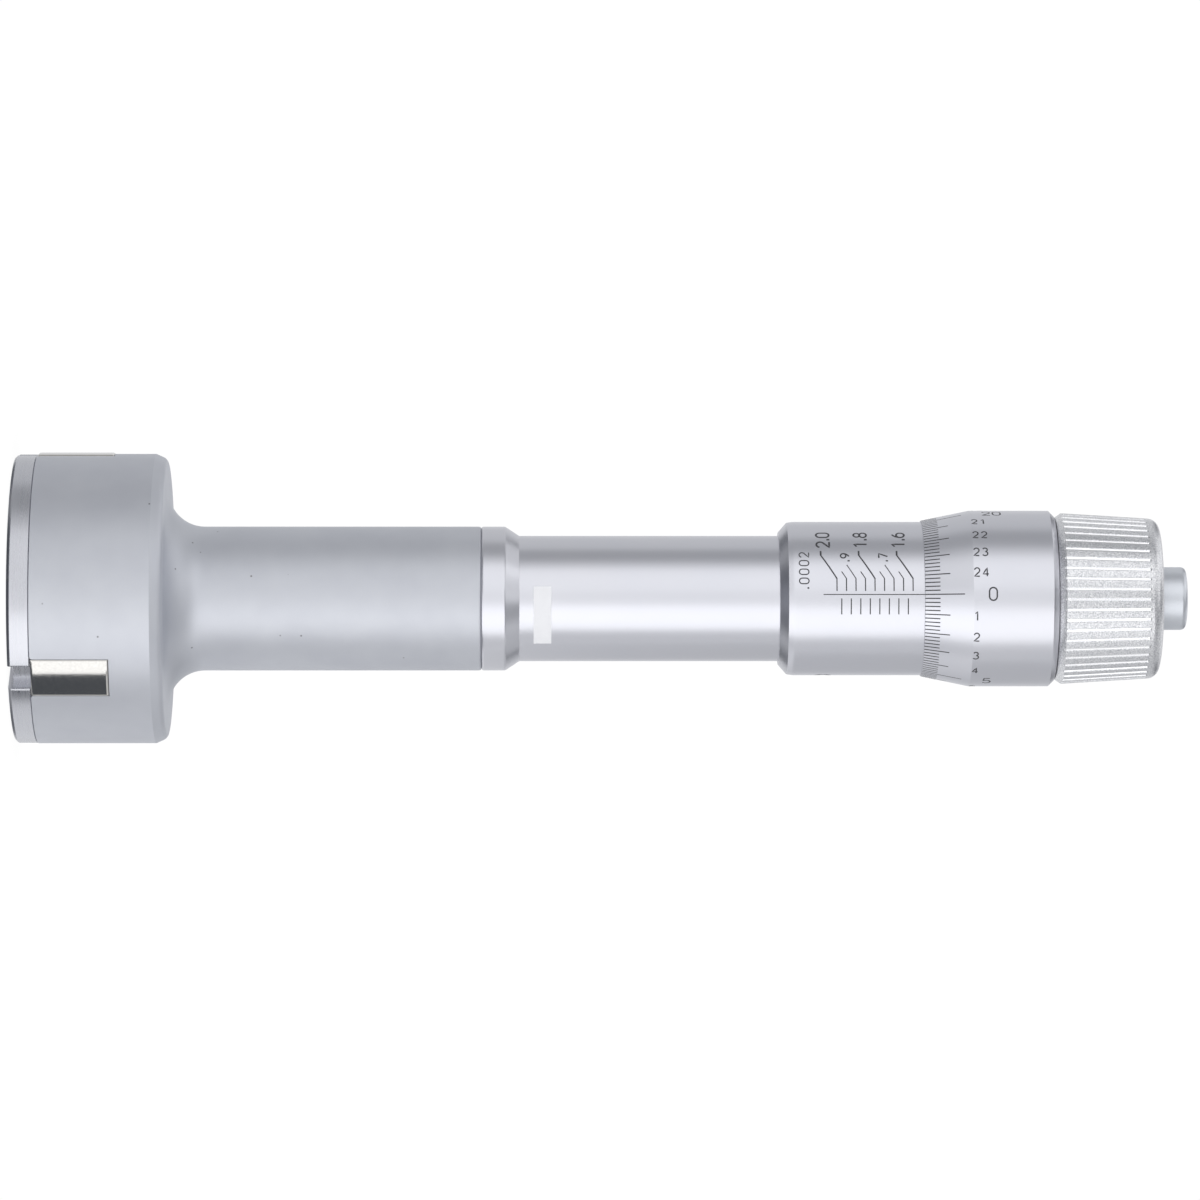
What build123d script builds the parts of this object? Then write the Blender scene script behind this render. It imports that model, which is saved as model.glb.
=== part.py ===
from build123d import *
import os
from math import cos, radians, sin, tan

# Three-point inside micrometer for bores of 1.6 to 2.0 inches.
# Millimetres. The instrument stands on its nose: +Z runs along the spindle from the
# nose plate to the ratchet stop, and the origin is the centre of the nose face.
# The index line of the scale sleeve faces -Y.

os.makedirs("parts", exist_ok=True)

# Measuring screw and cone
inch = 25.4
thread_pitch = inch / 40
working_turns = 18
feed = thread_pitch * working_turns
cone_slope = 0.5
anvil_lift = feed * cone_slope
rest_reading = 1.55 * inch

# Clearances
running_gap = 0.05
fixed_gap = 0.02
end_gap = 0.3
seat_gap = 0.1
cut_overshoot = 1.0

# Measuring head and neck, turned from one bar
head_radius = 19.5
head_back_wall = 1.95
head_corner_radius = 1.6
neck_wall = 1.25
neck_length = 42.2
neck_fillet = 5.0
neck_edge = 0.3
slot_corner_radius = 0.35

# Nose plate and its screws
plate_inset = 0.05
plate_thickness = 3.0
plate_edge_radius = 1.8
plate_rear_edge = 0.15
notch_width = 3.4
notch_depth = 1.75
notch_edge_radius = 0.3
notch_relief_depth = 0.65
notch_relief_length = 5.0
nose_skin = 0.8
screw_count = 3
screw_circle = 12.5
screw_radius = 1.25
screw_head_radius = 2.4
screw_length = 8.0
screw_tap_depth = 1.0
screw_recess = 0.05
screw_socket_radius = 0.75
screw_socket_depth = 0.9
countersink_angle = 90

# Cone
cone_tip_radius = 0.8
cone_tip_gap = 0.27
cone_contact = 2.6
cone_bay_gap = 0.25
cone_end_gap = 0.45

# Anvils
anvil_count = 3
anvil_first_angle = -54
anvil_width = 5.7
anvil_length = 10.3
anvil_face_radius = 17.5
anvil_edge_radius = 0.3
anvil_front_gap = 0.05
shoe_thickness = 5.0
web_setback = 5.6
web_gusset = 3.6
foot_reach = 8.9
foot_depth = 4.9
mitre_gap = 0.1

# Anvil springs
anvil_spring_wire = 0.4
anvil_spring_radius = 1.6
anvil_spring_turns = 8
spring_seat_depth = 1.5
pocket_wall = 2.0

# Push rod, guide bush and return spring
rod_radius = 2.5
rod_spigot_radius = 2.0
rod_spigot_length = 5.0
rod_tail_radius = 3.0
rod_collar_clearance = 1.2
rod_collar_width = 2.0
rod_collar_setback = 4.52
bush_length = 6.0
key_width = 1.0
key_height = 1.95
key_length = 4.0
keyway_depth = 0.9
return_spring_radius = 4.6
return_spring_wire = 0.8
return_spring_turns = 6
ball_radius = 1.5
ball_seat_depth = 0.9

# Barrel
barrel_radius = 8.45
barrel_length = 34.9
barrel_wall = 3.25
collar_length = 3.2
collar_taper = 1.9
collar_edge = 0.3
spigot_length = 6.1
spigot_step = 1.45
nut_length = 35.4
nut_overhang = 8.2
nut_step = 0.55
nut_slot_count = 3
nut_slot_width = 0.8
nut_slot_length = 9.0
ring_length = 5.0
ring_wall = 0.65
ring_setback = 1.4
ring_notch_count = 4
ring_notch_angle = 45
ring_notch_width = 1.2
ring_notch_depth = 1.0

# Blank band on the barrel
label_thickness = 0.08
label_width = 2.4
label_setback = 1.9
label_start_angle = -97.9
label_arc = 56.8

# Scale sleeve
sleeve_wall = 1.9
sleeve_length = 24.6
sleeve_face_width = 0.5
sleeve_bevel_length = 2.0
spanner_hole_radius = 1.15
spanner_hole_setback = 6.0

# Spindle
spindle_nose_radius = 2.6
spindle_nose_length = 2.0
spindle_radius = 3.2
thread_step = 0.8
thread_lead = 2.0
spindle_shank_step = 0.4
spindle_seat_length = 4.2
spindle_end_radius = 2.8
spindle_tap_depth = 8.0

# Thimble
thimble_wall = 1.45
thimble_lip = 0.1
thimble_cone_length = 6.45
thimble_shoulder = 0.82
thimble_rear_bevel = 0.72
thimble_setback = 19.25
cup_clearance = 0.13
cup_wall = 0.9
cup_floor_thickness = 2.2

# Ratchet stop
ratchet_teeth = 24
tooth_width = 0.8
tooth_height = 0.5
tooth_gap = 0.03
base_inset = 1.3
base_bore_clearance = 0.2
base_thickness = 0.75
click_thickness = 0.7
click_inset = 0.3
click_bore_clearance = 0.6
lug_count = 4
lug_width = 2.0
lug_reach = 0.65
ratchet_spring_inset = 1.5
ratchet_spring_length = 1.3
ratchet_spring_wire = 0.25
ratchet_spring_turns = 2
knob_front_gap = 0.15
knob_wall = 1.25
knob_bevel_rise = 0.62
knob_bevel_length = 0.9
knob_fall = 0.8
knob_corner_radius = 1.7
knob_end_wall = 1.32
knob_hole_clearance = 0.3
groove_count = 50
groove_width = 0.62
groove_depth = 0.36
groove_margin = 1.7
stub_radius = 4.25
stub_length = 3.68
stub_edge_radius = 0.7
stub_shank_radius = 1.9
stub_thread_radius = 1.5
stub_thread_length = 7.0

# Radii that follow from the barrel and the spindle
plate_radius = head_radius - plate_inset
neck_radius = barrel_radius + neck_wall
neck_bore_radius = barrel_radius - spigot_step
rod_collar_radius = neck_bore_radius - rod_collar_clearance
barrel_bore_radius = barrel_radius - barrel_wall
nut_radius = barrel_radius - nut_step
ring_radius = nut_radius + fixed_gap + ring_wall
sleeve_radius = barrel_radius + sleeve_wall
thimble_bore_radius = sleeve_radius + running_gap
thimble_radius = thimble_bore_radius + thimble_wall
cup_bore_radius = ring_radius + cup_clearance
cup_radius = cup_bore_radius + cup_wall
thread_radius = spindle_radius + thread_step
spindle_shank_radius = spindle_radius + spindle_shank_step
click_radius = cup_radius - click_inset
click_bore_radius = stub_shank_radius + click_bore_clearance
base_radius = click_radius - base_inset
base_bore_radius = spindle_end_radius + base_bore_clearance
ratchet_spring_radius = base_radius - ratchet_spring_inset
knob_bore_radius = cup_radius + running_gap
knob_front_radius = knob_bore_radius + knob_wall
knob_radius = knob_front_radius + knob_bevel_rise
knob_rear_radius = knob_radius - knob_fall
knob_hole_radius = stub_shank_radius + knob_hole_clearance

# Stations of the head and the anvils
head_front = plate_thickness
shoe_front = head_front + anvil_front_gap
shoe_rear = shoe_front + anvil_length
slot_rear = shoe_rear + running_gap
foot_rear = shoe_rear + foot_depth
pocket_rear = foot_rear + 2 * seat_gap
head_rear = pocket_rear + head_back_wall
neck_end = head_rear + neck_length
pocket_reach = head_radius - pocket_wall
anvil_reach = rest_reading / 2
slot_width = anvil_width + 2 * running_gap
spring_height = (shoe_rear + foot_rear) / 2

# Stations of the cone and the rod at rest
cone_tip = nose_skin + cone_tip_gap + feed
cone_length = feed + cone_contact
cone_rear = cone_tip + cone_length
cone_radius = cone_tip_radius + cone_length * cone_slope
cone_bay_radius = cone_radius + cone_bay_gap
bush_front = cone_rear + cone_end_gap
bush_rear = bush_front + bush_length
spigot_front = neck_end - spigot_length
rod_collar_rear = spigot_front - rod_collar_setback
rod_collar_front = rod_collar_rear - rod_collar_width
return_spring_length = rod_collar_front - bush_rear
rod_end = neck_end + 2 * collar_edge
ball_centre = rod_end + ball_radius - ball_seat_depth
spindle_nose = ball_centre + ball_radius + fixed_gap

# Stations of the barrel, the sleeve and the thimble
collar_end = neck_end + collar_length
barrel_start = collar_end + collar_taper
sleeve_front = barrel_start + barrel_length
sleeve_end = sleeve_front + sleeve_length
thimble_front = sleeve_front + thimble_setback
thimble_bore_end = sleeve_end + feed + end_gap
thimble_rear = thimble_bore_end + thimble_shoulder
nut_end = sleeve_end + nut_overhang
nut_front = nut_end - nut_length
cup_floor = nut_end + feed + end_gap
cup_rear = cup_floor + cup_floor_thickness

# Stations of the ratchet stop
tooth_top = cup_rear + base_thickness + tooth_height
click_front = tooth_top + fixed_gap
click_rear = click_front + click_thickness
knob_front = thimble_rear + knob_front_gap
knob_floor = click_rear + ratchet_spring_length
knob_rear = knob_floor + knob_end_wall
knob_length = knob_rear - knob_front
stub_front = knob_rear + running_gap
stub_rear = stub_front + stub_length

anvil_angles = [anvil_first_angle + 360 / anvil_count * i for i in range(anvil_count)]
screw_first_angle = anvil_first_angle + 180 / anvil_count


def radial_plane(angle):
    """The upright plane through the axis at an angle: x runs outwards and y runs along +Z."""
    c, s = cos(radians(angle)), sin(radians(angle))
    return Plane(origin=(0, 0, 0), x_dir=(c, s, 0), z_dir=(s, -c, 0))


def outward_plane(angle, reach, height):
    """A plane that faces outwards from the axis, at a radius and a height."""
    c, s = cos(radians(angle)), sin(radians(angle))
    return Plane(origin=(reach * c, reach * s, height), x_dir=(-s, c, 0), z_dir=(c, s, 0))


def coil(plane, mean_radius, wire, turns, length):
    """A compression spring of square wire that stands on a plane."""
    height = length - wire
    with BuildPart(mode=Mode.PRIVATE) as spring:
        with BuildLine(Plane.XY.offset(wire / 2)) as centre_line:
            Helix(pitch=height / turns, height=height, radius=mean_radius)
        start = centre_line.line @ 0
        with BuildSketch(Plane(origin=start, x_dir=(1, 0, 0), z_dir=centre_line.line % 0)):
            Rectangle(wire, wire)
        sweep(path=centre_line.line, is_frenet=True)
    return plane.location * spring.part


# Measuring head: a stepped bar with the cone's bay, a radial slot for each anvil with a
# pocket for its spring behind it, and the socket that takes the barrel
with BuildPart() as measuring_head:
    with BuildSketch(Plane.XZ) as section:
        with BuildLine():
            Polyline(
                (cone_bay_radius, head_front),
                (head_radius, head_front),
                (head_radius, head_rear),
                (neck_radius, head_rear),
                (neck_radius, neck_end),
                (barrel_radius + fixed_gap, neck_end),
                (barrel_radius + fixed_gap, spigot_front),
                (neck_bore_radius, spigot_front),
                (neck_bore_radius, bush_front),
                (cone_bay_radius, bush_front),
                close=True,
            )
        make_face()
        fillet(section.vertices().sort_by_distance((head_radius, head_rear))[0], head_corner_radius)
        fillet(section.vertices().sort_by_distance((neck_radius, head_rear))[0], neck_fillet)
        chamfer(section.vertices().sort_by_distance((neck_radius, neck_end))[0], neck_edge)
    revolve(axis=Axis.Z)
    for angle in anvil_angles:
        with BuildSketch(radial_plane(angle)):
            with BuildLine():
                Polyline(
                    (0, head_front - cut_overshoot),
                    (head_radius + cut_overshoot, head_front - cut_overshoot),
                    (head_radius + cut_overshoot, slot_rear),
                    (pocket_reach, slot_rear),
                    (pocket_reach, pocket_rear),
                    (0, pocket_rear),
                    close=True,
                )
            make_face()
        extrude(amount=slot_width / 2, both=True, mode=Mode.SUBTRACT)
    mouth = measuring_head.edges().filter_by(GeomType.LINE).group_by(Axis.Z)[0]
    fillet(mouth, slot_corner_radius)
    with BuildSketch(Plane.XY.offset(head_front)):
        with PolarLocations(screw_circle, screw_count, screw_first_angle):
            Circle(screw_radius + fixed_gap)
    extrude(amount=screw_length + screw_tap_depth - plate_thickness, mode=Mode.SUBTRACT)
measuring_head.part.label = "measuring_head"

# Nose plate: a ground disc that closes the anvil slots, with a thumbnail notch over each
# anvil that runs out across the face, and a blind well at the back that the tip of the cone
# runs into
with BuildPart() as nose_plate:
    Cylinder(plate_radius, plate_thickness, align=(Align.CENTER, Align.CENTER, Align.MIN))
    fillet(nose_plate.edges().sort_by(Axis.Z)[0], plate_edge_radius)
    chamfer(nose_plate.edges().sort_by(Axis.Z)[-1], plate_rear_edge)
    with BuildSketch(Plane.XY):
        with PolarLocations(plate_radius, anvil_count, anvil_first_angle):
            Rectangle(2 * notch_depth, notch_width)
    extrude(amount=plate_thickness, mode=Mode.SUBTRACT)
    lips = nose_plate.edges().filter_by(Axis.Z).sort_by(SortBy.DISTANCE, reverse=True)[: 2 * anvil_count]
    fillet(lips, notch_edge_radius)
    notch_floor = plate_radius - notch_depth
    for angle in anvil_angles:
        with BuildSketch(radial_plane(angle)):
            with BuildLine():
                Polyline(
                    (notch_floor - notch_relief_length, 0),
                    (notch_floor, notch_relief_depth),
                    (plate_radius, notch_relief_depth),
                    (plate_radius, 0),
                    close=True,
                )
            make_face()
        extrude(amount=notch_width / 2, both=True, mode=Mode.SUBTRACT)
    with BuildSketch(Plane.XY.offset(plate_thickness)):
        Circle(cone_tip_radius + (plate_thickness - nose_skin) * cone_slope + end_gap)
    extrude(amount=nose_skin - plate_thickness, mode=Mode.SUBTRACT)
    for angle in [screw_first_angle + 360 / screw_count * i for i in range(screw_count)]:
        hole_place = Plane(
            origin=(screw_circle * cos(radians(angle)), screw_circle * sin(radians(angle)), 0),
            z_dir=(0, 0, -1),
        )
        with Locations(hole_place):
            CounterSinkHole(
                screw_radius + fixed_gap,
                screw_head_radius + fixed_gap,
                plate_thickness,
                countersink_angle,
            )
nose_plate.part.label = "nose_plate"

# Countersunk screws that hold the nose plate, a little below its face
head_depth = (screw_head_radius - screw_radius) / tan(radians(countersink_angle / 2))
with BuildPart() as nose_plate_screws:
    for angle in [screw_first_angle + 360 / screw_count * i for i in range(screw_count)]:
        screw_axis = Axis(
            (screw_circle * cos(radians(angle)), screw_circle * sin(radians(angle)), 0), (0, 0, 1)
        )
        with BuildSketch(radial_plane(angle)):
            with BuildLine():
                Polyline(
                    (screw_circle, screw_recess + screw_socket_depth),
                    (screw_circle + screw_socket_radius, screw_recess + screw_socket_depth),
                    (screw_circle + screw_socket_radius, screw_recess),
                    (screw_circle + screw_head_radius - screw_recess, screw_recess),
                    (screw_circle + screw_radius, head_depth),
                    (screw_circle + screw_radius, screw_length),
                    (screw_circle, screw_length),
                    close=True,
                )
            make_face()
        revolve(axis=screw_axis)
nose_plate_screws.part.label = "nose_plate_screws"

# Measuring cone: half a millimetre of radius for each millimetre of length, with a hole
# in its back for the push rod
with BuildPart() as measuring_cone:
    with BuildSketch(Plane.XZ):
        with BuildLine():
            Polyline(
                (0, cone_tip),
                (cone_tip_radius, cone_tip),
                (cone_radius, cone_rear),
                (rod_spigot_radius + fixed_gap, cone_rear),
                (rod_spigot_radius + fixed_gap, cone_rear - rod_spigot_length - seat_gap),
                (0, cone_rear - rod_spigot_length - seat_gap),
                close=True,
            )
        make_face()
    revolve(axis=Axis.Z)
measuring_cone.part.label = "measuring_cone"

# Anvils: a rounded measuring shoe on a web whose foot lies on the cone along one line,
# its inner end mitred so that the three meet round the axis
contact_gap = fixed_gap
for letter, angle in zip("abc", anvil_angles):
    with BuildPart() as anvil:
        with BuildSketch(radial_plane(angle)):
            with BuildLine():
                Polyline(
                    (anvil_reach, shoe_front),
                    (anvil_reach, shoe_rear),
                    (foot_reach, shoe_rear),
                    (foot_reach, foot_rear),
                    (cone_tip_radius + (foot_rear - cone_tip) * cone_slope + contact_gap, foot_rear),
                    (cone_tip_radius + contact_gap, cone_tip),
                    (cone_tip_radius + contact_gap, shoe_front + web_setback),
                    (anvil_reach - shoe_thickness - web_gusset, shoe_front + web_setback),
                    (anvil_reach - shoe_thickness, shoe_front + web_setback - web_gusset),
                    (anvil_reach - shoe_thickness, shoe_front),
                    close=True,
                )
            make_face()
        extrude(amount=anvil_width / 2, both=True)
        plan_plane = Plane(
            origin=(0, 0, shoe_front), x_dir=radial_plane(angle).x_dir, z_dir=(0, 0, 1)
        )
        with BuildSketch(plan_plane):
            with BuildLine():
                Polyline(
                    (mitre_gap, 0),
                    (head_radius, (head_radius - mitre_gap) * tan(radians(180 / anvil_count))),
                    (2 * head_radius, 0),
                    (head_radius, (mitre_gap - head_radius) * tan(radians(180 / anvil_count))),
                    close=True,
                )
            make_face()
            with Locations((anvil_reach - anvil_face_radius, 0)):
                Circle(anvil_face_radius, mode=Mode.INTERSECT)
        extrude(amount=foot_rear - shoe_front, mode=Mode.INTERSECT)
        face_point = radial_plane(angle).from_local_coords((anvil_reach, (shoe_front + shoe_rear) / 2))
        measuring_face = anvil.faces().sort_by_distance(face_point)[0]
        fillet(measuring_face.edges(), anvil_edge_radius)
        with Locations(outward_plane(angle, foot_reach, spring_height)):
            Hole(anvil_spring_radius + anvil_spring_wire, spring_seat_depth)
    anvil.part.label = f"anvil_{letter}"
    export_step(anvil.part, f"parts/anvil_{letter}.step")

# Springs that press each anvil's foot inwards against the cone
seat_reach = foot_reach - spring_seat_depth
for letter, angle in zip("abc", anvil_angles):
    anvil_spring = coil(
        outward_plane(angle, seat_reach + seat_gap, spring_height),
        anvil_spring_radius,
        anvil_spring_wire,
        anvil_spring_turns,
        pocket_reach - seat_reach - 2 * seat_gap,
    )
    anvil_spring.label = f"anvil_spring_{letter}"
    export_step(anvil_spring, f"parts/anvil_spring_{letter}.step")

# Guide bush, pressed into the neck, with a seat for the key
with BuildPart() as guide_bush:
    with BuildSketch(Plane.XY.offset(bush_front)):
        Circle(neck_bore_radius - fixed_gap)
        Circle(rod_radius + running_gap, mode=Mode.SUBTRACT)
        with Locations((rod_radius - keyway_depth + key_height / 2 + running_gap, 0)):
            Rectangle(key_height + 2 * fixed_gap, key_width + 2 * fixed_gap, mode=Mode.SUBTRACT)
    extrude(amount=bush_length)
guide_bush.part.label = "guide_bush"

# Key that stops the rod turning
with BuildPart() as rod_key:
    with BuildSketch(Plane.XY.offset((bush_front + bush_rear - key_length) / 2)):
        with Locations((rod_radius - keyway_depth + key_height / 2 + running_gap, 0)):
            Rectangle(key_height, key_width)
    extrude(amount=key_length)
rod_key.part.label = "rod_key"

# Push rod: a spigot in the cone, a keyway, a collar for the return spring and a cupped
# end for the thrust ball
with BuildPart() as push_rod:
    with BuildSketch(Plane.XZ):
        with BuildLine():
            Polyline(
                (0, cone_rear - rod_spigot_length),
                (rod_spigot_radius, cone_rear - rod_spigot_length),
                (rod_spigot_radius, cone_rear),
                (rod_radius, cone_rear),
                (rod_radius, rod_collar_front),
                (rod_collar_radius, rod_collar_front),
                (rod_collar_radius, rod_collar_rear),
                (rod_tail_radius, rod_collar_rear),
                (rod_tail_radius, rod_end),
                (0, rod_end),
                close=True,
            )
        make_face()
    revolve(axis=Axis.Z)
    with BuildSketch(Plane.XY.offset(bush_front - cone_end_gap / 2)):
        with Locations((rod_radius, 0)):
            Rectangle(2 * keyway_depth, key_width + 2 * running_gap)
    extrude(amount=bush_length + feed + cone_end_gap, mode=Mode.SUBTRACT)
    with Locations((0, 0, ball_centre)):
        Sphere(ball_radius + fixed_gap, mode=Mode.SUBTRACT)
push_rod.part.label = "push_rod"

# Thrust ball between the rod and the spindle
with BuildPart() as thrust_ball:
    with Locations((0, 0, ball_centre)):
        Sphere(ball_radius)
thrust_ball.part.label = "thrust_ball"

# Return spring that draws the cone back as the spindle backs off
return_spring = coil(
    Plane.XY.offset(bush_rear + seat_gap),
    return_spring_radius,
    return_spring_wire,
    return_spring_turns,
    return_spring_length - 2 * seat_gap,
)
return_spring.label = "return_spring"

# Barrel: collar, tube and split measuring nut, turned from one bar
with BuildPart() as barrel:
    with BuildSketch(Plane.XZ) as section:
        with BuildLine():
            Polyline(
                (barrel_bore_radius, spigot_front),
                (barrel_radius, spigot_front),
                (barrel_radius, neck_end),
                (neck_radius, neck_end),
                (neck_radius, collar_end),
                (barrel_radius, barrel_start),
                (barrel_radius, sleeve_end + end_gap),
                (nut_radius, sleeve_end + end_gap),
                (nut_radius, nut_end),
                (thread_radius + running_gap, nut_end),
                (thread_radius + running_gap, nut_front),
                (barrel_bore_radius, nut_front),
                close=True,
            )
        make_face()
        chamfer(section.vertices().sort_by_distance((neck_radius, neck_end))[0], collar_edge)
    revolve(axis=Axis.Z)
    with BuildSketch(Plane.XY.offset(nut_end)):
        with PolarLocations((thread_radius + barrel_radius) / 2, nut_slot_count):
            Rectangle(barrel_radius + thread_radius, nut_slot_width)
        Circle(nut_radius + fixed_gap, mode=Mode.INTERSECT)
    extrude(amount=-nut_slot_length, mode=Mode.SUBTRACT)
barrel.part.label = "barrel"

# Ring nut that closes the split end of the barrel on the spindle thread
with BuildPart() as adjusting_nut:
    with BuildSketch(Plane.XY.offset(nut_end - ring_setback)):
        Circle(ring_radius)
        Circle(nut_radius + fixed_gap, mode=Mode.SUBTRACT)
    extrude(amount=-ring_length)
    with BuildSketch(Plane.XY.offset(nut_end - ring_setback)):
        with PolarLocations(ring_radius, ring_notch_count, ring_notch_angle):
            Rectangle(4 * ring_wall, ring_notch_width)
    extrude(amount=-ring_notch_depth, mode=Mode.SUBTRACT)
adjusting_nut.part.label = "adjusting_nut"

# Blank band stuck on the barrel behind the collar
with BuildPart() as blank_band:
    with BuildSketch(radial_plane(label_start_angle)):
        with Locations((barrel_radius, barrel_start + label_setback)):
            Rectangle(label_thickness, label_width, align=(Align.MIN, Align.MIN))
    revolve(axis=Axis.Z, revolution_arc=label_arc)
blank_band.part.label = "blank_band"

# Scale sleeve: turned on the barrel with a pin spanner to set the zero
with BuildPart() as scale_sleeve:
    with BuildSketch(Plane.XZ):
        with BuildLine():
            Polyline(
                (barrel_radius + fixed_gap, sleeve_front),
                (barrel_radius + sleeve_face_width, sleeve_front),
                (sleeve_radius, sleeve_front + sleeve_bevel_length),
                (sleeve_radius, sleeve_end),
                (barrel_radius + fixed_gap, sleeve_end),
                close=True,
            )
        make_face()
    revolve(axis=Axis.Z)
    with Locations(outward_plane(0, sleeve_radius, sleeve_front + spanner_hole_setback)):
        Hole(spanner_hole_radius, sleeve_radius - barrel_radius)
scale_sleeve.part.label = "scale_sleeve"

# Spindle: nose, plain guide, measuring thread and the taper that carries the thimble
thread_front = nut_front - thread_lead
thread_rear = cup_floor - feed + end_gap
seat_front = cup_rear - spindle_seat_length
with BuildPart() as spindle:
    with BuildSketch(Plane.XZ):
        with BuildLine():
            Polyline(
                (0, spindle_nose),
                (spindle_nose_radius, spindle_nose),
                (spindle_nose_radius, spindle_nose + spindle_nose_length),
                (spindle_radius, spindle_nose + spindle_nose_length),
                (spindle_radius, thread_front),
                (thread_radius, thread_front),
                (thread_radius, thread_rear),
                (spindle_shank_radius, thread_rear),
                (spindle_shank_radius, seat_front),
                (spindle_end_radius, cup_rear),
                (stub_thread_radius + fixed_gap, cup_rear),
                (stub_thread_radius + fixed_gap, cup_rear - spindle_tap_depth),
                (0, cup_rear - spindle_tap_depth),
                close=True,
            )
        make_face()
    revolve(axis=Axis.Z)
spindle.part.label = "spindle"

# Thimble: a bevelled skirt over the scale sleeve and a cup behind it that seats on the
# taper of the spindle
seat_slope = (spindle_shank_radius - spindle_end_radius) / spindle_seat_length
with BuildPart() as thimble:
    with BuildSketch(Plane.XZ):
        with BuildLine():
            Polyline(
                (thimble_bore_radius, thimble_front),
                (thimble_bore_radius + thimble_lip, thimble_front),
                (thimble_radius, thimble_front + thimble_cone_length),
                (thimble_radius, thimble_rear - thimble_rear_bevel),
                (thimble_radius - thimble_rear_bevel, thimble_rear),
                (cup_radius, thimble_rear),
                (cup_radius, cup_rear),
                (spindle_end_radius + fixed_gap, cup_rear),
                (spindle_end_radius + fixed_gap + seat_slope * cup_floor_thickness, cup_floor),
                (cup_bore_radius, cup_floor),
                (cup_bore_radius, thimble_bore_end),
                (thimble_bore_radius, thimble_bore_end),
                close=True,
            )
        make_face()
    revolve(axis=Axis.Z)
thimble.part.label = "thimble"

# Ratchet base: a ring of saw teeth on the back of the thimble's cup. Each tooth gap has a
# ramp on the side that the knob is turned towards as it feeds, and a wall on the other
with BuildPart() as tooth_gap_cut:
    with BuildSketch(Plane.YZ):
        with BuildLine():
            Polyline(
                (tooth_width / 2, tooth_top),
                (tooth_width / 2, tooth_top - tooth_height),
                (-tooth_width / 2, tooth_top),
                close=True,
            )
        make_face()
    extrude(amount=click_radius)
with BuildPart() as ratchet_base:
    with BuildSketch(Plane.XY.offset(cup_rear)):
        Circle(base_radius)
        Circle(base_bore_radius, mode=Mode.SUBTRACT)
    extrude(amount=base_thickness + tooth_height)
    with PolarLocations(0, ratchet_teeth):
        add(tooth_gap_cut.part, mode=Mode.SUBTRACT)
ratchet_base.part.label = "ratchet_base"

# Click ring: slides in the knob on four lugs, and its teeth lie in the gaps of the base
with BuildPart() as click_tooth:
    with BuildSketch(Plane.YZ.offset(base_bore_radius + running_gap)):
        with BuildLine():
            Polyline(
                (tooth_width / 2 - tooth_gap, click_front + tooth_gap),
                (tooth_width / 2 - tooth_gap, click_front - tooth_height + 2 * tooth_gap),
                (-tooth_width / 2 + 2 * tooth_gap, click_front),
                (-tooth_width / 2 + 2 * tooth_gap, click_front + tooth_gap),
                close=True,
            )
        make_face()
    extrude(amount=base_radius - base_bore_radius)
with BuildPart() as click_ring:
    with BuildSketch(Plane.XY.offset(click_front)):
        Circle(click_radius)
        with PolarLocations(click_radius, lug_count):
            Rectangle(2 * lug_reach, lug_width)
        Circle(click_bore_radius, mode=Mode.SUBTRACT)
    extrude(amount=click_thickness)
    with PolarLocations(0, ratchet_teeth):
        add(click_tooth.part)
click_ring.part.label = "click_ring"

# Ratchet spring between the click ring and the knob's end wall
ratchet_spring = coil(
    Plane.XY.offset(click_rear + seat_gap / 2),
    ratchet_spring_radius,
    ratchet_spring_wire,
    ratchet_spring_turns,
    knob_floor - click_rear - seat_gap,
)
ratchet_spring.label = "ratchet_spring"

# Groove of the knob's knurl, cut along its tapered side
side_front = knob_front + knob_bevel_length
side_length = knob_rear - side_front
side_fall = (knob_radius - knob_rear_radius) / side_length
with BuildPart() as knob_groove:
    groove_plane = Plane(
        origin=(knob_radius + side_fall * knob_bevel_length, 0, knob_front),
        x_dir=(0, 1, 0),
        z_dir=(-side_fall, 0, 1),
    )
    with BuildSketch(groove_plane):
        with BuildLine():
            Polyline(
                (-groove_width, -groove_depth),
                (0, groove_depth),
                (groove_width, -groove_depth),
                close=True,
            )
        make_face()
    extrude(amount=knob_length - groove_margin)

# Ratchet knob: a tapered, grooved cap over the thimble's cup, with inside keyways for the
# lugs of the click ring
with BuildPart() as ratchet_knob:
    with BuildSketch(Plane.XZ) as section:
        with BuildLine():
            Polyline(
                (knob_bore_radius, knob_front),
                (knob_front_radius, knob_front),
                (knob_radius, side_front),
                (knob_rear_radius, knob_rear),
                (knob_hole_radius, knob_rear),
                (knob_hole_radius, knob_floor),
                (knob_bore_radius, knob_floor),
                close=True,
            )
        make_face()
        fillet(section.vertices().sort_by_distance((knob_rear_radius, knob_rear))[0], knob_corner_radius)
    revolve(axis=Axis.Z)
    with BuildSketch(Plane.XY.offset(knob_floor)):
        with PolarLocations(click_radius, lug_count):
            Rectangle(2 * lug_reach + 2 * running_gap, lug_width + 2 * running_gap)
    extrude(amount=cup_rear - knob_floor, mode=Mode.SUBTRACT)
    with PolarLocations(0, groove_count):
        add(knob_groove.part, mode=Mode.SUBTRACT)
ratchet_knob.part.label = "ratchet_knob"

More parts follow.
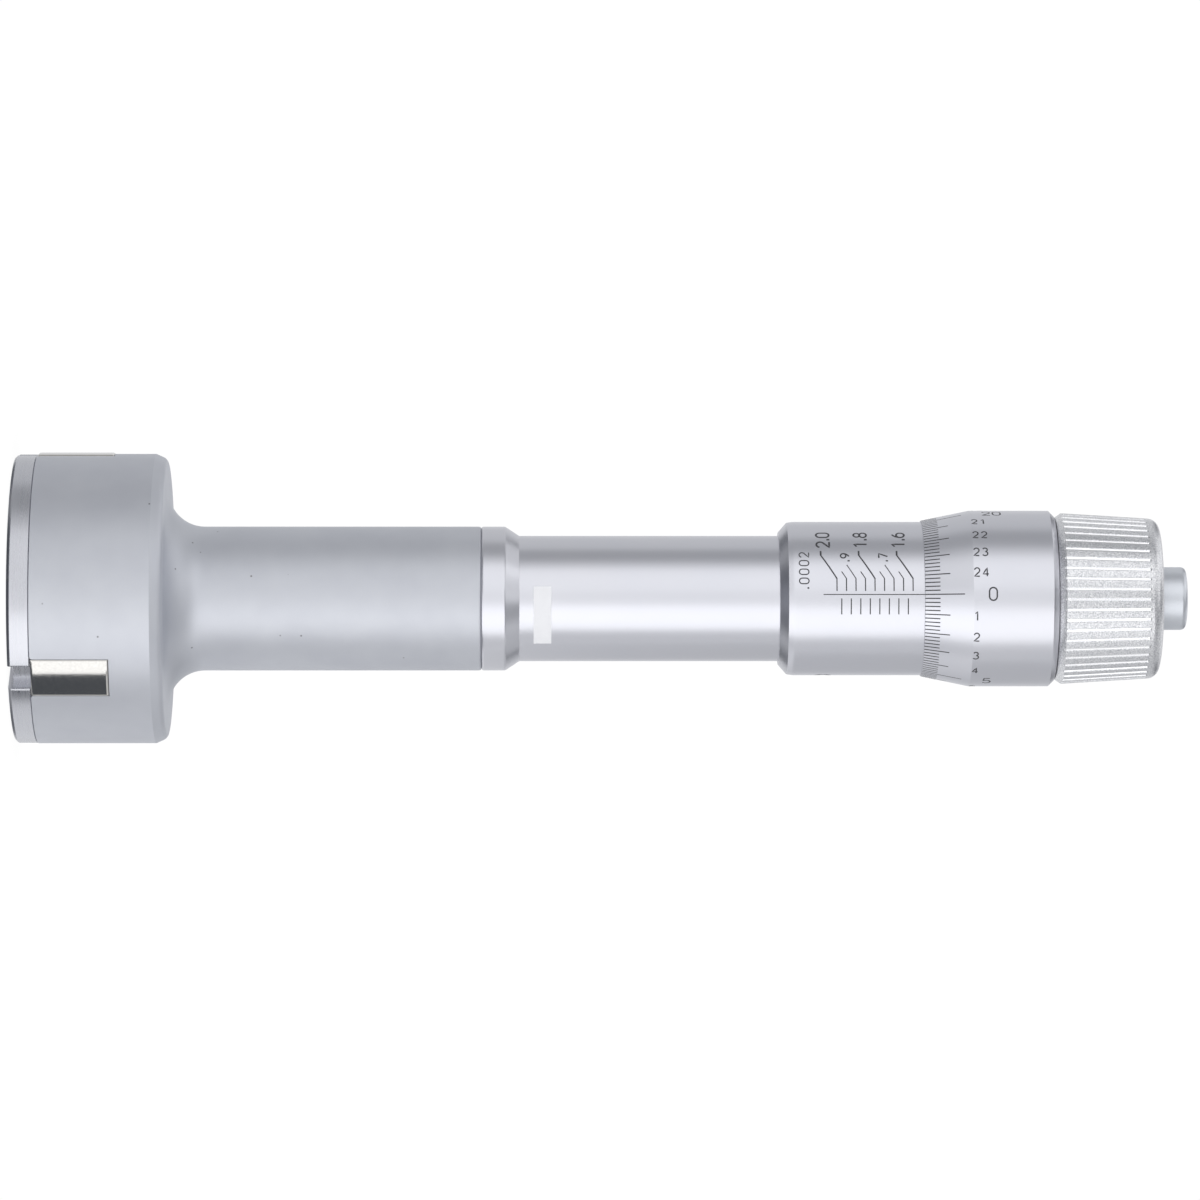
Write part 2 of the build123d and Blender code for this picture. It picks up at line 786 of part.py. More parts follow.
# Ratchet screw: holds the knob on the spindle, and its head is the small rear button
with BuildPart() as ratchet_screw:
    with BuildSketch(Plane.XZ) as section:
        with BuildLine():
            Polyline(
                (0, cup_rear - stub_thread_length),
                (stub_thread_radius, cup_rear - stub_thread_length),
                (stub_thread_radius, cup_rear),
                (stub_shank_radius, cup_rear),
                (stub_shank_radius, stub_front),
                (stub_radius, stub_front),
                (stub_radius, stub_rear),
                (0, stub_rear),
                close=True,
            )
        make_face()
        fillet(section.vertices().sort_by_distance((stub_radius, stub_rear))[0], stub_edge_radius)
    revolve(axis=Axis.Z)
ratchet_screw.part.label = "ratchet_screw"

pieces = [
    measuring_head,
    nose_plate,
    nose_plate_screws,
    measuring_cone,
    guide_bush,
    rod_key,
    push_rod,
    thrust_ball,
    barrel,
    adjusting_nut,
    blank_band,
    scale_sleeve,
    spindle,
    thimble,
    ratchet_base,
    click_ring,
    ratchet_knob,
    ratchet_screw,
]
for piece in pieces:
    export_step(piece.part, f"parts/{piece.part.label}.step")
for spring in [return_spring, ratchet_spring]:
    export_step(spring, f"parts/{spring.label}.step")
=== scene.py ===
from math import cos, pi, radians, sin, sqrt, tan

import bmesh
import bpy
from mathutils import Matrix, Vector


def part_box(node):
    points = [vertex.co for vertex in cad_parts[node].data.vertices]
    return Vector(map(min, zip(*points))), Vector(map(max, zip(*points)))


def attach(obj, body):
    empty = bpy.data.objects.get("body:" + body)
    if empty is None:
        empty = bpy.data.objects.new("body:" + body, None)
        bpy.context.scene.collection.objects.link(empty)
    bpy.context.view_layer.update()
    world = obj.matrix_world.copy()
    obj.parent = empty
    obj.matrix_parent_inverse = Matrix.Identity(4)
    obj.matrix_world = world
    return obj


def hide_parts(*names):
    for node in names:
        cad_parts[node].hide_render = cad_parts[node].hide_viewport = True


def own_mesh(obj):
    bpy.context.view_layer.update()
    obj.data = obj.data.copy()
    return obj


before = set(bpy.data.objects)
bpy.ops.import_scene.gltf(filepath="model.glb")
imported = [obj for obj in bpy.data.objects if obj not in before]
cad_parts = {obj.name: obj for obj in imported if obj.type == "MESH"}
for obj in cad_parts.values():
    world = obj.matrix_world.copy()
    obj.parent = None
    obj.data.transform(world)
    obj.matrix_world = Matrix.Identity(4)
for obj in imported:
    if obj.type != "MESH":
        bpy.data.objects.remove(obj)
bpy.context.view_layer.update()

# Measuring head and neck: one bar of steel, turned, bored for the cone and slotted for the
# anvils, then bead blasted and hard chromed to an even light grey satin. The nose plate
# closes its front and the barrel is pushed into its back.
mm = 0.001
head_back = 20.4
head_taper_start, head_taper_edge, head_taper_radius = 18.85, 0.1, 18.8
head_back_corner = 1.0
neck_radius, neck_fillet, neck_bore_radius = 9.7, 5.0, 7.0
cone_bay_radius, cone_bay_end = 8.065, 26.98
socket_radius, socket_front = 8.47, 56.5
joint_edge = 0.3
anvil_angles = {"a": -54, "b": 66, "c": 186}
slot_half_width, slot_end = 2.9, 13.4
slot_mouth_rounding, slot_mouth_parts = 0.35, 4
pocket_reach, pocket_end = 17.5, 18.45
screw_circle, screw_angles = 12.5, (6, 126, 246)
tapped_radius, tapped_end, tapped_sides = 1.27, 9.0, 24
cutter_front, cutter_inner, mouth_cutter_inner, cutter_outer = 2, 6, 7, 21
land = 0.03
chords_per_mm, fewest_chords, most_chords = 5, 3, 24
weld = 1e-5


def reach(name):
    """The radius, the bottom and the top of a CAD node, in millimetres."""
    low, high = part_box(name)
    return high.y / mm, low.z / mm, high.z / mm


def linear(code):
    """A colour written as sRGB hex, as the linear values that a shader takes."""
    shares = [int(code[i:i + 2], 16) / 255 for i in (0, 2, 4)]
    return [c / 12.92 if c <= 0.04045 else ((c + 0.055) / 1.055) ** 2.4 for c in shares] + [1.0]


def node(tree, kind, settings={}, inputs={}):
    """A shader node with its settings, and its inputs as values or as links."""
    added = tree.nodes.new("ShaderNode" + kind)
    for name, value in settings.items():
        setattr(added, name, value)
    for name, value in inputs.items():
        if isinstance(value, bpy.types.NodeSocket):
            tree.links.new(value, added.inputs[name])
        else:
            added.inputs[name].default_value = value
    return added


def finish(name):
    """A new material, its node tree and the place on the piece that its patterns read."""
    made = bpy.data.materials.new(name)
    made.use_nodes = True
    tree = made.node_tree
    tree.nodes.clear()
    return made, tree, node(tree, "TexCoord").outputs["Object"]


def surface(tree, colour, roughness, relief=None, metallic=1.0):
    """Ends a finish; its relief is a height, a strength and a depth in metres."""
    inputs = {"Base Color": colour, "Roughness": roughness, "Metallic": metallic}
    if relief:
        bump = node(tree, "Bump", {}, dict(zip(("Height", "Strength", "Distance"), relief)))
        inputs["Normal"] = bump.outputs["Normal"]
    shader = node(tree, "BsdfPrincipled", {}, inputs)
    node(tree, "OutputMaterial", {}, {"Surface": shader.outputs["BSDF"]})


def outline(*corners):
    """A closed outline of (radius, height) corners; a third value rounds that corner.

    A narrow land beside each rounding keeps the long faces next to it flat to the light.
    """
    points = []
    for i, corner in enumerate(corners):
        here = Vector(corner[:2])
        if len(corner) == 2:
            points.append(here)
            continue
        radius = corner[2]
        back = (Vector(corners[i - 1][:2]) - here).normalized()
        ahead = (Vector(corners[(i + 1) % len(corners)][:2]) - here).normalized()
        half = back.angle(ahead) / 2
        centre = here + (back + ahead).normalized() * radius / sin(half)
        legs = [here + side * radius / tan(half) - centre for side in (back, ahead)]
        chords = min(most_chords, max(fewest_chords, round(radius * chords_per_mm)))
        points.append(centre + legs[0] + back * land)
        for k in range(chords + 1):
            points.append(centre + legs[0].slerp(legs[1], k / chords) * radius)
        points.append(centre + legs[1] + ahead * land)
    return points


def lathe(points, steps=288):
    """The closed outline turned once round the Z axis."""
    bm = bmesh.new()
    verts = [bm.verts.new((p.x, 0, p.y)) for p in points]
    pairs = zip(verts, verts[1:] + verts[:1])
    edges = [bm.edges.new(pair) for pair in pairs if pair[0].co.x + pair[1].co.x > weld]
    bmesh.ops.spin(bm, geom=verts + edges, cent=(0, 0, 0), axis=(0, 0, 1), angle=2 * pi,
                   steps=steps, use_merge=True)
    bmesh.ops.remove_doubles(bm, verts=bm.verts, dist=weld)
    bmesh.ops.recalc_face_normals(bm, faces=bm.faces)
    return bm


def spot(angle, distance):
    """The point at an angle round the Z axis and a distance out from it."""
    return Vector((distance * cos(radians(angle)), distance * sin(radians(angle)), 0))


def radial_place(angle):
    """Turns a section drawn in (radius, height) into the upright plane at that angle."""
    c, s = cos(radians(angle)), sin(radians(angle))
    return Matrix(((c, 0, s, 0), (s, 0, -c, 0), (0, 1, 0, 0), (0, 0, 0, 1)))


def outward_place(angle, height=0):
    """Turns a section drawn in (along the rim, height) to face outwards at that angle."""
    c, s = cos(radians(angle)), sin(radians(angle))
    return Matrix(((-s, 0, c, 0), (c, 0, s, 0), (0, 1, 0, height), (0, 0, 0, 1)))


def prism(bm, section, place, low, high):
    """Adds a prism: a section of (x, y) points drawn from one depth to another."""
    face = bm.faces.new([bm.verts.new((x, y, low)) for x, y in section])
    far = bmesh.ops.extrude_face_region(bm, geom=[face])["geom"]
    moved = [v for v in far if isinstance(v, bmesh.types.BMVert)]
    bmesh.ops.translate(bm, verts=moved, vec=(0, 0, high - low))
    bmesh.ops.transform(bm, matrix=place, verts=list(face.verts) + moved)
    bmesh.ops.recalc_face_normals(bm, faces=bm.faces)


def cut_round(stock, angles, section, place, low, high):
    """The stock less one prism at each angle, turned there by place(angle)."""
    tools = bmesh.new()
    for angle in angles:
        prism(tools, section, place(angle), low, high)
    return cut(stock, tools)


def circle(radius, sides=48):
    """Points on a circle, as a section for a prism."""
    turns = [2 * pi * i / sides for i in range(sides)]
    return [(radius * cos(turn), radius * sin(turn)) for turn in turns]


def cut(stock, tool, operation="DIFFERENCE"):
    """The stock less the tool, or what the two share; both are used up."""
    pair = []
    for bm in (stock, tool):
        mesh = bpy.data.meshes.new("blank")
        bm.to_mesh(mesh)
        bm.free()
        pair.append(bpy.data.objects.new("blank", mesh))
        bpy.context.scene.collection.objects.link(pair[-1])
    modifier = pair[0].modifiers.new("cut", "BOOLEAN")
    modifier.object, modifier.operation, modifier.solver = pair[1], operation, "EXACT"
    result = bmesh.new()
    result.from_object(pair[0], bpy.context.evaluated_depsgraph_get())
    for blank in pair:
        mesh = blank.data
        bpy.data.objects.remove(blank)
        bpy.data.meshes.remove(mesh)
    bmesh.ops.remove_doubles(result, verts=result.verts, dist=weld)
    return result


def piece(bm, name, body, material, slot, *nodes, crease=28):
    """A finished piece in metres that rides on a body and stands for CAD nodes."""
    bmesh.ops.scale(bm, vec=(mm, mm, mm), verts=bm.verts)
    mesh = bpy.data.meshes.new(name)
    bm.to_mesh(mesh)
    bm.free()
    mesh.materials.append(material)
    mesh.shade_smooth()
    mesh.set_sharp_from_angle(angle=radians(crease))
    made = bpy.data.objects.new(name, mesh)
    bpy.context.scene.collection.objects.link(made)
    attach(made, body)
    if nodes:
        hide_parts(*nodes)
    return made


# Bead blasting leaves dimples of about 0.15 mm, too fine to count: the eye gets a soft,
# slightly cloudy grey with the odd dark pinprick, painted shade at the heart of a pit.
blasted_chrome, tree, place = finish("bead_blasted_satin_chrome")
grain = node(tree, "TexNoise", {}, {
    "Vector": place, "Scale": 6500.0, "Detail": 3.0, "Roughness": 0.6})
cloud = node(tree, "TexNoise", {}, {"Vector": place, "Scale": 160.0, "Detail": 2.0})
pits = node(tree, "TexVoronoi", {}, {"Vector": place, "Scale": 260.0})
# Painted shade: the colour falls to a dark grey at the centre of each pit.
painted_pit_shade = node(tree, "MapRange", {}, {
    "Value": pits.outputs["Distance"], "From Min": 0.02, "From Max": 0.045})
tone = node(tree, "Mix", {"data_type": "RGBA"}, {
    0: cloud.outputs["Fac"], 6: linear("C8CAD1"), 7: linear("D5D7DC")})
shade = node(tree, "Mix", {"data_type": "RGBA"}, {
    0: painted_pit_shade.outputs["Result"], 6: linear("8A8A8E"), 7: tone.outputs[2]})
gloss = node(tree, "MapRange", {}, {"Value": grain.outputs["Fac"], "To Min": 0.49, "To Max": 0.60})
surface(tree, shade.outputs[2], gloss.outputs["Result"], (grain.outputs["Fac"], 0.25, 0.00002))

head_radius, head_front, neck_end = reach("measuring_head")
head = lathe(outline(
    (cone_bay_radius, head_front),
    (head_radius, head_front),
    (head_radius, head_taper_start, head_taper_edge),
    (head_taper_radius, head_back, head_back_corner),
    (neck_radius, head_back, neck_fillet),
    (neck_radius, neck_end, joint_edge),
    (socket_radius, neck_end),
    (socket_radius, socket_front),
    (neck_bore_radius, socket_front),
    (neck_bore_radius, cone_bay_end),
    (cone_bay_radius, cone_bay_end),
))
head = cut_round(head, anvil_angles.values(), [
    (cutter_inner, cutter_front), (cutter_outer, cutter_front), (cutter_outer, slot_end),
    (pocket_reach, slot_end), (pocket_reach, pocket_end), (cutter_inner, pocket_end),
], radial_place, -slot_half_width, slot_half_width)
mouth = [(-slot_half_width - slot_mouth_rounding, cutter_front)]
for k in range(slot_mouth_parts + 1):
    turn = radians(90 * k / slot_mouth_parts)
    mouth.append((-slot_half_width - slot_mouth_rounding * (1 - sin(turn)),
                  head_front + slot_mouth_rounding * (1 - cos(turn))))
mouth += [(-x, y) for x, y in mouth[::-1]]
head = cut_round(head, anvil_angles.values(), mouth, outward_place,
                 mouth_cutter_inner, cutter_outer)
head = cut_round(head, screw_angles, circle(tapped_radius, tapped_sides),
                 lambda angle: Matrix.Translation(spot(angle, screw_circle)),
                 cutter_front, tapped_end)
piece(head, "measuring_head_turned", "head_frame", blasted_chrome, "head_satin", "measuring_head")

# Inner parts, hidden in the head, the neck and the thimble. The cone, thrust ball and key are
# hardened and lapped, the rod, spindle, nut and ratchet rings are turned, and the guide bush is
# bronze. The cone is pinned to the rod, which the key in the bush keeps from turning.

# Lapping leaves a near mirror, with a faint haze and hair-fine rings round the axis.
lapped_steel, tree, place = finish("lapped_tool_steel")
haze = node(tree, "TexNoise", {}, {"Vector": place, "Scale": 900.0, "Detail": 4.0})
gloss = node(tree, "MapRange", {}, {"Value": haze.outputs["Fac"], "To Min": 0.10, "To Max": 0.18})
scratch_place = node(tree, "Mapping", {}, {"Vector": place, "Scale": (400.0, 400.0, 9000.0)})
scratches = node(tree, "TexNoise", {}, {
    "Vector": scratch_place.outputs["Vector"], "Scale": 1.0, "Detail": 2.0})
surface(tree, linear("CFCDC9"), gloss.outputs["Result"], (scratches.outputs["Fac"], 0.12, 0.00001))

# The rod, the spindle and the ratchet parts are left as turned: fine rings about 0.15 mm
# apart that stretch a highlight along the axis.
turned_steel, tree, place = finish("turned_hardened_steel")
ring_place = node(tree, "Mapping", {}, {"Vector": place, "Scale": (60.0, 60.0, 7000.0)})
rings = node(tree, "TexNoise", {}, {
    "Vector": ring_place.outputs["Vector"], "Scale": 1.0, "Detail": 2.0})
tone = node(tree, "Mix", {"data_type": "RGBA"}, {
    0: rings.outputs["Fac"], 6: linear("8E8E91"), 7: linear("B4B4B6")})
gloss = node(tree, "MapRange", {}, {"Value": rings.outputs["Fac"], "To Min": 0.24, "To Max": 0.40})
surface(tree, tone.outputs[2], gloss.outputs["Result"], (rings.outputs["Fac"], 0.3, 0.00001))

# The guide bush is phosphor bronze: a warm brown gold with dull patches.
bush_bronze, tree, place = finish("turned_phosphor_bronze")
patch = node(tree, "TexNoise", {}, {"Vector": place, "Scale": 350.0, "Detail": 3.0})
tone = node(tree, "Mix", {"data_type": "RGBA"}, {
    0: patch.outputs["Fac"], 6: linear("9A6B3C"), 7: linear("C79A62")})
gloss = node(tree, "MapRange", {}, {"Value": patch.outputs["Fac"], "To Min": 0.28, "To Max": 0.45})
surface(tree, tone.outputs[2], gloss.outputs["Result"])


def keep_node(name, material):
    """Gives a CAD node that stays as it is its finish."""
    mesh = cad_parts[name].data
    mesh.materials.clear()
    mesh.materials.append(material)


for name in ("measuring_cone", "thrust_ball", "rod_key"):
    keep_node(name, lapped_steel)
for name in ("push_rod", "spindle", "adjusting_nut", "ratchet_base", "click_ring"):
    keep_node(name, turned_steel)
keep_node("guide_bush", bush_bronze)

# Springs: drawn music wire, wound cold. The return spring lies round the rod and draws the
# cone back, and one small spring in each anvil's foot holds the anvil down on the cone.
wire_sides, steps_per_turn = 10, 28
return_radius, return_wire, return_turns = 4.6, 0.8, 6
return_low, return_high = 33.08, 49.88
anvil_radius, anvil_wire, anvil_turns = 1.6, 0.4, 8
anvil_low, anvil_high, anvil_spring_height = 7.5, 17.4, 15.8

# Music wire is drawn bright and turns to a darker grey under its oil, in soft patches.
music_wire, tree, place = finish("oiled_music_wire")
oil = node(tree, "TexNoise", {}, {"Vector": place, "Scale": 1200.0, "Detail": 2.0})
tone = node(tree, "Mix", {"data_type": "RGBA"}, {
    0: oil.outputs["Fac"], 6: linear("5E5E62"), 7: linear("86868A")})
gloss = node(tree, "MapRange", {}, {"Value": oil.outputs["Fac"], "To Min": 0.22, "To Max": 0.38})
surface(tree, tone.outputs[2], gloss.outputs["Result"])


def coil(mean_radius, wire_diameter, turns, low, high, place=Matrix.Identity(4)):
    """A round-wire compression spring that stands between two heights."""
    bm = bmesh.new()
    ring = bmesh.ops.create_circle(
        bm, cap_ends=False, segments=wire_sides, radius=wire_diameter / 2)["verts"]
    bmesh.ops.rotate(bm, cent=(0, 0, 0), matrix=Matrix.Rotation(pi / 2, 3, "X"), verts=ring)
    bmesh.ops.translate(bm, vec=(mean_radius, 0, low + wire_diameter / 2), verts=ring)
    steps = turns * steps_per_turn
    rise = (high - low - wire_diameter) / steps
    bmesh.ops.spin(bm, geom=bm.verts[:] + bm.edges[:], cent=(0, 0, 0), axis=(0, 0, 1),
                   angle=2 * pi * turns, steps=steps, dvec=(0, 0, rise))
    bmesh.ops.holes_fill(bm, edges=bm.edges)
    bmesh.ops.transform(bm, matrix=place, verts=bm.verts)
    bmesh.ops.recalc_face_normals(bm, faces=bm.faces)
    return bm


spring = piece(coil(return_radius, return_wire, return_turns, return_low, return_high),
               "return_spring_wound", "head_frame", music_wire, "spring_steel", "return_spring")
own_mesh(spring)
for letter, angle in anvil_angles.items():
    c, s = cos(radians(angle)), sin(radians(angle))
    spring = piece(coil(anvil_radius, anvil_wire, anvil_turns, anvil_low, anvil_high,
                        outward_place(angle, anvil_spring_height)),
                   f"anvil_spring_{letter}_wound", "head_frame", music_wire, "spring_steel",
                   f"anvil_spring_{letter}")
    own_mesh(spring)

# Anvils: hardened steel blocks, ground all over and lapped on the rounded measuring face.
# Each slides in its slot, and its foot lies on the cone.
anvil_half_width, anvil_reach = 2.85, 19.685
anvil_face_radius, anvil_face_parts, anvil_face_start, anvil_face_lean = 17.5, 14, 19, 0.98
anvil_edge_rounding, anvil_edge_parts = 0.3, 3
anvil_front, anvil_back, foot_back = 3.05, 13.35, 18.25
mitre_gap = 0.1
cone_tip_height = 12.5
foot_radius_on_tip, foot_radius_at_back = 0.82, 3.695
foot_reach, shoe_back_reach, web_reach, web_height = 8.9, 14.685, 11.085, 8.65
gusset_height = 5.05
seat_radius, seat_sides, seat_floor, seat_cutter_end = 2.0, 32, 7.4, 10
margin = 1

# Fine grinding leaves lines along the anvil, drawn 0.3 mm apart because the real hundredths
# don't show, and a scatter of bright and dark specks, so the mirror looks faintly grainy.
ground_anvil_steel, tree, place = finish("ground_and_lapped_anvil_steel")
speck = node(tree, "TexNoise", {}, {
    "Vector": place, "Scale": 3600.0, "Detail": 4.0, "Roughness": 0.7})
line_place = node(tree, "Mapping", {}, {"Vector": place, "Scale": (3500.0, 3500.0, 260.0)})
lines = node(tree, "TexNoise", {}, {
    "Vector": line_place.outputs["Vector"], "Scale": 1.0, "Detail": 3.0})
tone = node(tree, "Mix", {"data_type": "RGBA"}, {
    0: speck.outputs["Fac"], 6: linear("BDBBB8"), 7: linear("DEDCD8")})
gloss = node(tree, "MapRange", {}, {"Value": speck.outputs["Fac"], "To Min": 0.07, "To Max": 0.14})
height = node(tree, "Math", {"operation": "ADD"}, {
    0: speck.outputs["Fac"], 1: lines.outputs["Fac"]})
surface(tree, tone.outputs[2], gloss.outputs["Result"], (height.outputs[0], 0.16, 0.00001))

mitre = mitre_gap + anvil_half_width / tan(radians(60))
face = []
for k in range(anvil_face_parts + 1):
    across = anvil_half_width * (2 * k / anvil_face_parts - 1)
    bulge = sqrt(anvil_face_radius ** 2 - across ** 2)
    face.append((anvil_reach - anvil_face_radius + bulge, across))
for letter, angle in anvil_angles.items():
    plan = bmesh.new()
    prism(plan, [(mitre_gap, 0), (mitre, -anvil_half_width)] + face + [(mitre, anvil_half_width)],
          Matrix.Rotation(radians(angle), 4, "Z"), anvil_front, foot_back)
    side = bmesh.new()
    prism(side, [
        (anvil_reach + margin, anvil_front - margin), (anvil_reach + margin, anvil_back),
        (foot_reach, anvil_back), (foot_reach, foot_back + margin),
        (foot_radius_at_back, foot_back + margin), (foot_radius_at_back, foot_back),
        (foot_radius_on_tip, cone_tip_height), (foot_radius_on_tip, web_height),
        (web_reach, web_height), (shoe_back_reach, gusset_height),
        (shoe_back_reach, anvil_front - margin),
    ], radial_place(angle), -anvil_half_width - margin, anvil_half_width + margin)
    anvil = cut(plan, side, "INTERSECT")
    out = spot(angle, 1)
    front = {f for f in anvil.faces if f.normal.dot(out) > anvil_face_lean
             and f.calc_center_median().dot(out) > anvil_face_start}
    rim = [e for e in anvil.edges if len({f in front for f in e.link_faces}) == 2]
    bmesh.ops.bevel(anvil, geom=rim, offset=anvil_edge_rounding, offset_type="OFFSET",
                    segments=anvil_edge_parts, profile=0.5, affect="EDGES", material=-1,
                    clamp_overlap=True)
    seat = bmesh.new()
    prism(seat, circle(seat_radius, seat_sides), outward_place(angle, anvil_spring_height),
          seat_floor, seat_cutter_end)
    anvil = cut(anvil, seat)
    piece(anvil, f"anvil_{letter}_ground", f"anvil_{letter}", ground_anvil_steel, "lapped_steel",
          f"anvil_{letter}", crease=12)

# Nose plate: a steel disc, turned, notched over each anvil and ground all over. It closes
# the anvil slots and is held by three countersunk socket screws.
plate_chamfer, plate_edge_rounding, plate_back_edge = 0.4, 0.12, 0.15
well_radius, well_floor = 2.2, 0.8
notch_half_width, notch_depth, notch_edge, notch_edge_parts = 1.7, 1.75, 0.3, 4
relief_length, relief_depth, relief_run_out = 5.0, 0.65, 2
screw_radius, screw_head_radius = 1.25, 2.4
screw_head_depth = screw_head_radius - screw_radius
sink_gap, sink_run_out, sink_sides = 0.02, 0.5, 36

# Cylindrical grinding runs round the rim: fine lines, drawn 0.4 mm apart because closer ones
# don't show, that shade into each other, and a few small nicks.
ground_plate_steel, tree, place = finish("cylindrically_ground_steel")
line_place = node(tree, "Mapping", {}, {"Vector": place, "Scale": (110.0, 110.0, 2600.0)})
lines = node(tree, "TexNoise", {}, {
    "Vector": line_place.outputs["Vector"], "Scale": 1.0, "Detail": 4.0})
rub = node(tree, "TexNoise", {}, {
    "Vector": place, "Scale": 420.0, "Detail": 5.0, "Roughness": 0.65})
nick = node(tree, "MapRange", {}, {"Value": rub.outputs["Fac"], "From Min": 0.70, "From Max": 0.76})
tone = node(tree, "Mix", {"data_type": "RGBA"}, {
    0: lines.outputs["Fac"], 6: linear("BEBFC5"), 7: linear("CCCDD2")})
gloss = node(tree, "MapRange", {}, {"Value": lines.outputs["Fac"], "To Min": 0.23, "To Max": 0.32})
height = node(tree, "Math", {"operation": "SUBTRACT"}, {
    0: lines.outputs["Fac"], 1: nick.outputs["Result"]})
surface(tree, tone.outputs[2], gloss.outputs["Result"], (height.outputs[0], 0.12, 0.00002))

plate_radius, plate_face, plate_back = reach("nose_plate")
plate = lathe(outline(
    (0, plate_face),
    (plate_radius - plate_chamfer, plate_face, plate_edge_rounding),
    (plate_radius, plate_face + plate_chamfer, plate_edge_rounding),
    (plate_radius, plate_back - plate_back_edge),
    (plate_radius - plate_back_edge, plate_back),
    (well_radius, plate_back),
    (well_radius, well_floor),
    (0, well_floor),
))
notch_floor = plate_radius - notch_depth
relief_start = notch_floor - relief_length
lip_reach = sqrt(plate_radius ** 2 - notch_half_width ** 2) - notch_edge
notch_plan = [(notch_floor, -notch_half_width)]
for k in range(notch_edge_parts + 1):
    turn = radians(90 * k / notch_edge_parts)
    notch_plan.append((lip_reach + notch_edge * sin(turn),
                       -notch_half_width - notch_edge * (1 - cos(turn))))
notch_plan.append((cutter_outer, -notch_half_width - notch_edge))
notch_plan += [(x, -y) for x, y in notch_plan[::-1]]
plate = cut_round(plate, anvil_angles.values(), notch_plan,
                  lambda angle: Matrix.Rotation(radians(angle), 4, "Z"),
                  plate_face - margin, plate_back + margin)
slope = relief_depth / (notch_floor - relief_start)
plate = cut_round(plate, anvil_angles.values(), [
    (relief_start - relief_run_out, -relief_run_out * slope), (notch_floor, relief_depth),
    (cutter_outer, relief_depth), (cutter_outer, plate_face - margin),
    (relief_start - relief_run_out, plate_face - margin),
], radial_place, -notch_half_width, notch_half_width)


def gather(pile, bm):
    """Adds one bmesh to a pile of like ones, and uses it up."""
    mesh = bpy.data.meshes.new("blank")
    bm.to_mesh(mesh)
    bm.free()
    pile.from_mesh(mesh)
    bpy.data.meshes.remove(mesh)


countersinks = bmesh.new()
for angle in screw_angles:
    sink = lathe(outline(
        (0, -sink_run_out),
        (screw_head_radius + sink_gap + sink_run_out, -sink_run_out),
        (screw_radius + sink_gap, screw_head_depth),
        (screw_radius + sink_gap, plate_back + margin),
        (0, plate_back + margin),
    ), sink_sides)
    bmesh.ops.translate(sink, vec=spot(angle, screw_circle), verts=sink.verts)
    gather(countersinks, sink)
plate = cut(plate, countersinks)
piece(plate, "nose_plate_ground", "head_frame", ground_plate_steel, "ground_steel", "nose_plate")

# Nose plate screws: three countersunk socket screws of alloy steel, blackened in oil. They
# hold the plate against the head, with their own heads a touch below its face.
screw_recess, screw_head_edge = 0.05, 0.06
screw_end, screw_tip_rounding, screw_sides = 8.0, 0.2, 40
socket_half_width, socket_depth = 0.75, 0.9

# The oiled black is a dark grey with lighter patches where it has worn.
blackened_screw, tree, place = finish("blackened_alloy_steel")
patch = node(tree, "TexNoise", {}, {"Vector": place, "Scale": 1500.0, "Detail": 3.0})
tone = node(tree, "Mix", {"data_type": "RGBA"}, {
    0: patch.outputs["Fac"], 6: linear("4A4A4D"), 7: linear("737377")})
gloss = node(tree, "MapRange", {}, {"Value": patch.outputs["Fac"], "To Min": 0.26, "To Max": 0.42})
surface(tree, tone.outputs[2], gloss.outputs["Result"])

screws = bmesh.new()
for angle in screw_angles:
    screw = lathe(outline(
        (0, screw_recess),
        (screw_head_radius - screw_recess, screw_recess, screw_head_edge),
        (screw_radius, screw_head_depth),
        (screw_radius, screw_end, screw_tip_rounding),
        (0, screw_end),
    ), screw_sides)
    socket = bmesh.new()
    prism(socket, circle(socket_half_width / cos(radians(30)), 6), Matrix.Identity(4),
          -margin, screw_recess + socket_depth)
    screw = cut(screw, socket)
    bmesh.ops.translate(screw, vec=spot(angle, screw_circle), verts=screw.verts)
    gather(screws, screw)
piece(screws, "nose_plate_socket_screws", "head_frame", blackened_screw, "screw_steel",
      "nose_plate_screws")

# Barrel: one steel turning with a collar that butts against the neck, a plain tube and a
# split nut end inside the thimble, all satin chromed. Its spigot is cemented in the neck.
barrel_radius, barrel_bore = 8.45, 5.2
collar_end, collar_rounding = 65.8, 0.5
taper_end, taper_rounding = 67.7, 0.15
nut_shoulder, nut_radius = 127.5, 7.9
thread_bore, nut_front = 4.05, 100.0
nut_slot_angles, nut_slot_half_width, nut_slot_start = (0, 120, 240), 0.4, 126.4
nut_slot_inner, nut_slot_outer = 3, 9

# Satin chrome over a fine blast: smoother than the head, so bright and dark strips of the
# studio show along it, with a fine even grain and no lines.
satin_chrome, tree, place = finish("satin_chrome_plate")
grain = node(tree, "TexNoise", {}, {
    "Vector": place, "Scale": 7000.0, "Detail": 2.0, "Roughness": 0.6})
cloud = node(tree, "TexNoise", {}, {"Vector": place, "Scale": 90.0, "Detail": 3.0})
tone = node(tree, "Mix", {"data_type": "RGBA"}, {
    0: cloud.outputs["Fac"], 6: linear("CFD0D7"), 7: linear("D5D5DA")})
gloss = node(tree, "MapRange", {}, {"Value": grain.outputs["Fac"], "To Min": 0.27, "To Max": 0.34})
surface(tree, tone.outputs[2], gloss.outputs["Result"], (grain.outputs["Fac"], 0.12, 0.00002))

